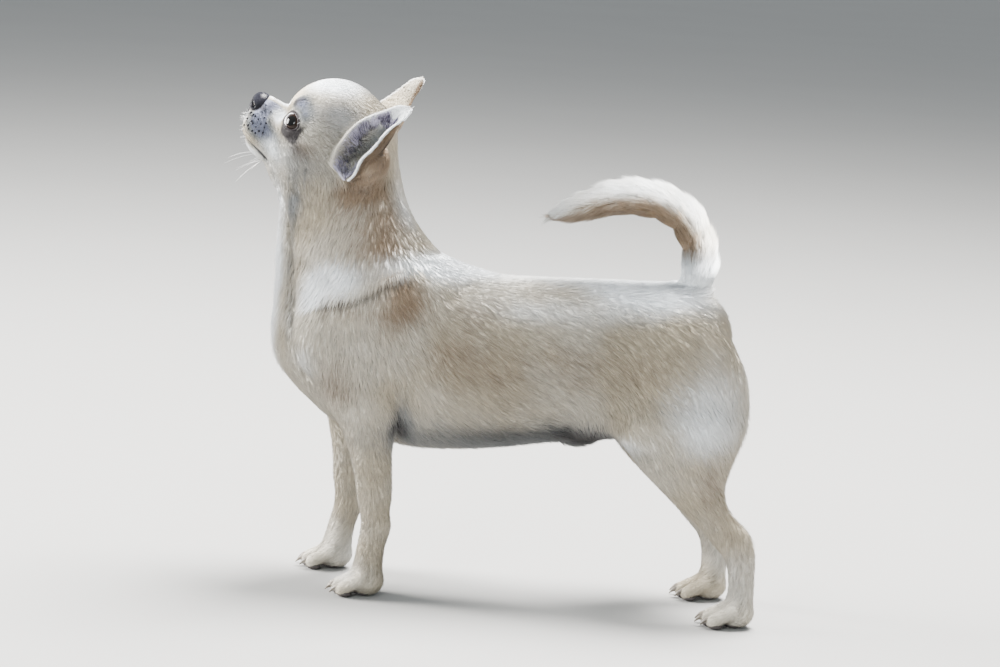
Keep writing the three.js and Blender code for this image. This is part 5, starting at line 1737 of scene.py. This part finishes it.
        # Each hair darkens from root to tip: painted shade where the locks reach into the hollow.
        colour = paint.blend((0.05, 0.042, 0.075, 1), (0.57, 0.54, 0.68, 1),
                             paint.limit(chance + (0.4 - length) * 0.8 + (shade - 0.5) * 0.4, 0.0, 1.0))
        piece.data.materials.append(paint.finish(Base_Color=colour))
        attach(piece, "root")

    @staticmethod
    def grow(name, hairs):
        """Single hairs in the head's frame that bend down along their length, white or nearly black:
        root + way t, less a fifth of the length times t^2."""
        roots, ways, lengths, thick, pale = [np.array(column) for column in zip(*hairs)]
        ways = unit(ways)
        t = np.linspace(0, 1, 7)
        path = roots[:, None] + ways[:, None] * (lengths[:, None, None] * t[:, None])
        path = from_head(path - np.array([0.1, 0, 0.2]) * (lengths[:, None, None] * t[:, None] ** 2))
        side = unit(np.cross(ways @ HEAD_AXES, [0.3, 0.2, 0.93]))
        up = np.cross(side, ways @ HEAD_AXES)
        thin = thick[:, None] * (1 - 0.75 * t[:-1])
        points, faces = strands(path, side[:, None], up[:, None], thin, 0.8 * thin)
        tone = np.repeat(pale, 3 * (len(t) - 1) + 1)
        piece = put_mesh(name, points, faces, True, {"fur": np.stack([tone, tone], 1)},
                         tuft_map(HEAD, path[:, 0], t))
        paint = Paint("whisker", Roughness=0.4, Specular_IOR_Level=0.5)
        tone, _, _ = paint.attribute("fur")
        grain = paint.noise(400, 1)
        white = paint.blend((0.75, 0.75, 0.74, 1), (0.9, 0.9, 0.9, 1), grain)
        piece.data.materials.append(paint.finish(
            Base_Color=paint.blend((0.014, 0.013, 0.015, 1), white, tone)))
        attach(piece, "root")


class DOG_OT_feet(bpy.types.Operator):
    """Builds the claws and the pads of the paws"""

    bl_idname = "dog.feet"
    bl_label = "Claws and pads"

    def execute(self, context):
        claws, pads = [], []
        for heel, lead, lean, out in PAWS:
            for side in (1, -1):
                middle = -side * out
                shift = float(lead_at(lead, lean, np.array([middle]), np.array([8.0]))[0])
                for across, ahead in TOES:
                    toe = np.array([heel + shift - PAW_REACH - ahead, middle - side * across, 0])
                    t = np.linspace(-0.15, 1.05, 10)
                    path = toe + [-2, 0, 5.4] + np.stack(
                        [-4.9 * t, -side * across * 0.06 * t, 0.6 * t - 3.4 * t * t], 1)
                    radius = np.maximum(1.75 - 1.45 * np.maximum(t, 0), 0.12)
                    claws.append(tube(path, radius, 10, flat=1.25))
                    pads.append(globe(toe + [1.5, 0, 1.9], [4.2, 3.0, 1.9], np.eye(3), 12, 18)[:2])
                pads.append(globe(np.array([heel + shift - 6.5, middle, 1.9]), [6.0, 6.5, 1.9],
                                  np.eye(3), 12, 24)[:2])
        colours = context.scene.dog_colours
        points, faces = merged(claws)
        piece = put_mesh("claws", points, faces)
        paint = Paint("claw", Roughness=0.38, Specular_IOR_Level=0.5)
        grain = paint.noise(300, 3)
        colour = paint.blend(tuple(colours.claw), (0.3, 0.26, 0.21, 1), paint.limit(grain, 0.35, 0.75))
        piece.data.materials.append(paint.finish(
            Base_Color=colour, Normal=paint.bump(grain, 0.0003, 0.3)))
        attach(piece, "root")
        points, faces = merged(pads)
        piece = put_mesh("pads", points, faces)
        piece.data.materials.append(grained(
            "pad", tuple(colours.leather), (0.09, 0.075, 0.07, 1), 1800, 2, 0.0003, 0.8,
            Roughness=0.6, Specular_IOR_Level=0.4))
        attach(piece, "root")
        return {"FINISHED"}


class DOG_OT_stage(bpy.types.Operator):
    """Lays a plain pale floor and sets soft lights and the camera"""

    bl_idname = "dog.stage"
    bl_label = "Stage"

    def execute(self, context):
        scene = context.scene
        corners, reach = 96, 30000
        i = np.arange(corners)
        turn = i * 2 * np.pi / corners
        ring = np.stack([reach * np.cos(turn), reach * np.sin(turn), np.zeros(corners)], 1)
        points = np.concatenate([ring, [[0, 0, 0]]]) - PLACE
        faces = np.stack([i, (i + 1) % corners, np.full(corners, corners)], 1)
        floor = put_mesh("floor", points, faces, False)
        floor.data.materials.append(grained(
            "floor", (0.27, 0.268, 0.262, 1), (0.29, 0.288, 0.282, 1), 3, 2,
            Roughness=0.7, Specular_IOR_Level=0.2))

        world = bpy.data.worlds.new("pale_room")
        world.use_nodes = True
        world.node_tree.nodes["Background"].inputs[0].default_value = (0.88, 0.94, 0.98, 1)
        world.node_tree.nodes["Background"].inputs[1].default_value = 0.85
        scene.world = world
        for name, place, size, power, tint in (
            ("overhead", (0.3, 0.38, 1.8), 1.0, 330, (1, 0.98, 0.95)),
            ("front_rim", (-1.65, 0.1, 0.75), 0.85, 175, (1, 0.98, 0.95)),
            ("fill", (-0.9, -2.2, 1.2), 0.8, 45, (0.95, 1, 0.98)),
        ):
            data = bpy.data.lights.new(name, "AREA")
            data.shape = "DISK"
            data.size = size
            data.energy = power
            data.color = tint
            lamp = bpy.data.objects.new(name, data)
            scene.collection.objects.link(lamp)
            lamp.location = place
            aim = Vector((0, 0, 0.15)) - Vector(place)
            lamp.rotation_euler = aim.to_track_quat("-Z", "Y").to_euler()

        data = bpy.data.cameras.new("camera")
        data.lens = scene.dog_sizes.lens
        data.sensor_width = 36
        data.clip_end = 100
        camera = bpy.data.objects.new("camera", data)
        scene.collection.objects.link(camera)
        azimuth, elevation, roll = np.radians([5.0, 10.0, 3.6])
        distance, target = 1.634, Vector((-0.00195, 0.0, 0.15741))
        back = Vector((np.sin(azimuth) * np.cos(elevation), -np.cos(azimuth) * np.cos(elevation),
                       np.sin(elevation)))
        camera.location = target + distance * back
        look = (-back).to_track_quat("-Z", "Y").to_matrix().to_4x4()
        turned_by = look @ Matrix.Rotation(roll, 4, "Z")
        camera.rotation_euler = turned_by.to_euler()
        scene.camera = camera
        return {"FINISHED"}


class DOG_PT_panel(bpy.types.Panel):
    """Lists the pieces and their settings"""

    bl_idname = "DOG_PT_panel"
    bl_label = "Dog"
    bl_space_type = "VIEW_3D"
    bl_region_type = "UI"
    bl_category = "Dog"

    def draw(self, context):
        for operator in STEPS:
            self.layout.operator(operator.bl_idname)
        for settings in (context.scene.dog_colours, context.scene.dog_sizes):
            for name in type(settings).__annotations__:
                self.layout.prop(settings, name)


STEPS = (DOG_OT_stage, DOG_OT_skin, DOG_OT_eyes, DOG_OT_nose, DOG_OT_feet, DOG_OT_whiskers, DOG_OT_coat)
CLASSES = (DogColours, DogSizes, *STEPS, DOG_PT_panel)


def register():
    """Adds the classes and the scene's settings."""
    for one in CLASSES:
        bpy.utils.register_class(one)
    bpy.types.Scene.dog_colours = bpy.props.PointerProperty(type=DogColours)
    bpy.types.Scene.dog_sizes = bpy.props.PointerProperty(type=DogSizes)


def unregister():
    """Takes the settings and the classes away again."""
    del bpy.types.Scene.dog_colours
    del bpy.types.Scene.dog_sizes
    for one in reversed(CLASSES):
        bpy.utils.unregister_class(one)


def main():
    """Builds every piece in order."""
    register()
    bpy.ops.dog.stage()
    bpy.ops.dog.skin()
    bpy.ops.dog.eyes()
    bpy.ops.dog.nose()
    bpy.ops.dog.feet()
    bpy.ops.dog.whiskers()
    bpy.ops.dog.coat()


if __name__ == "__main__":
    main()
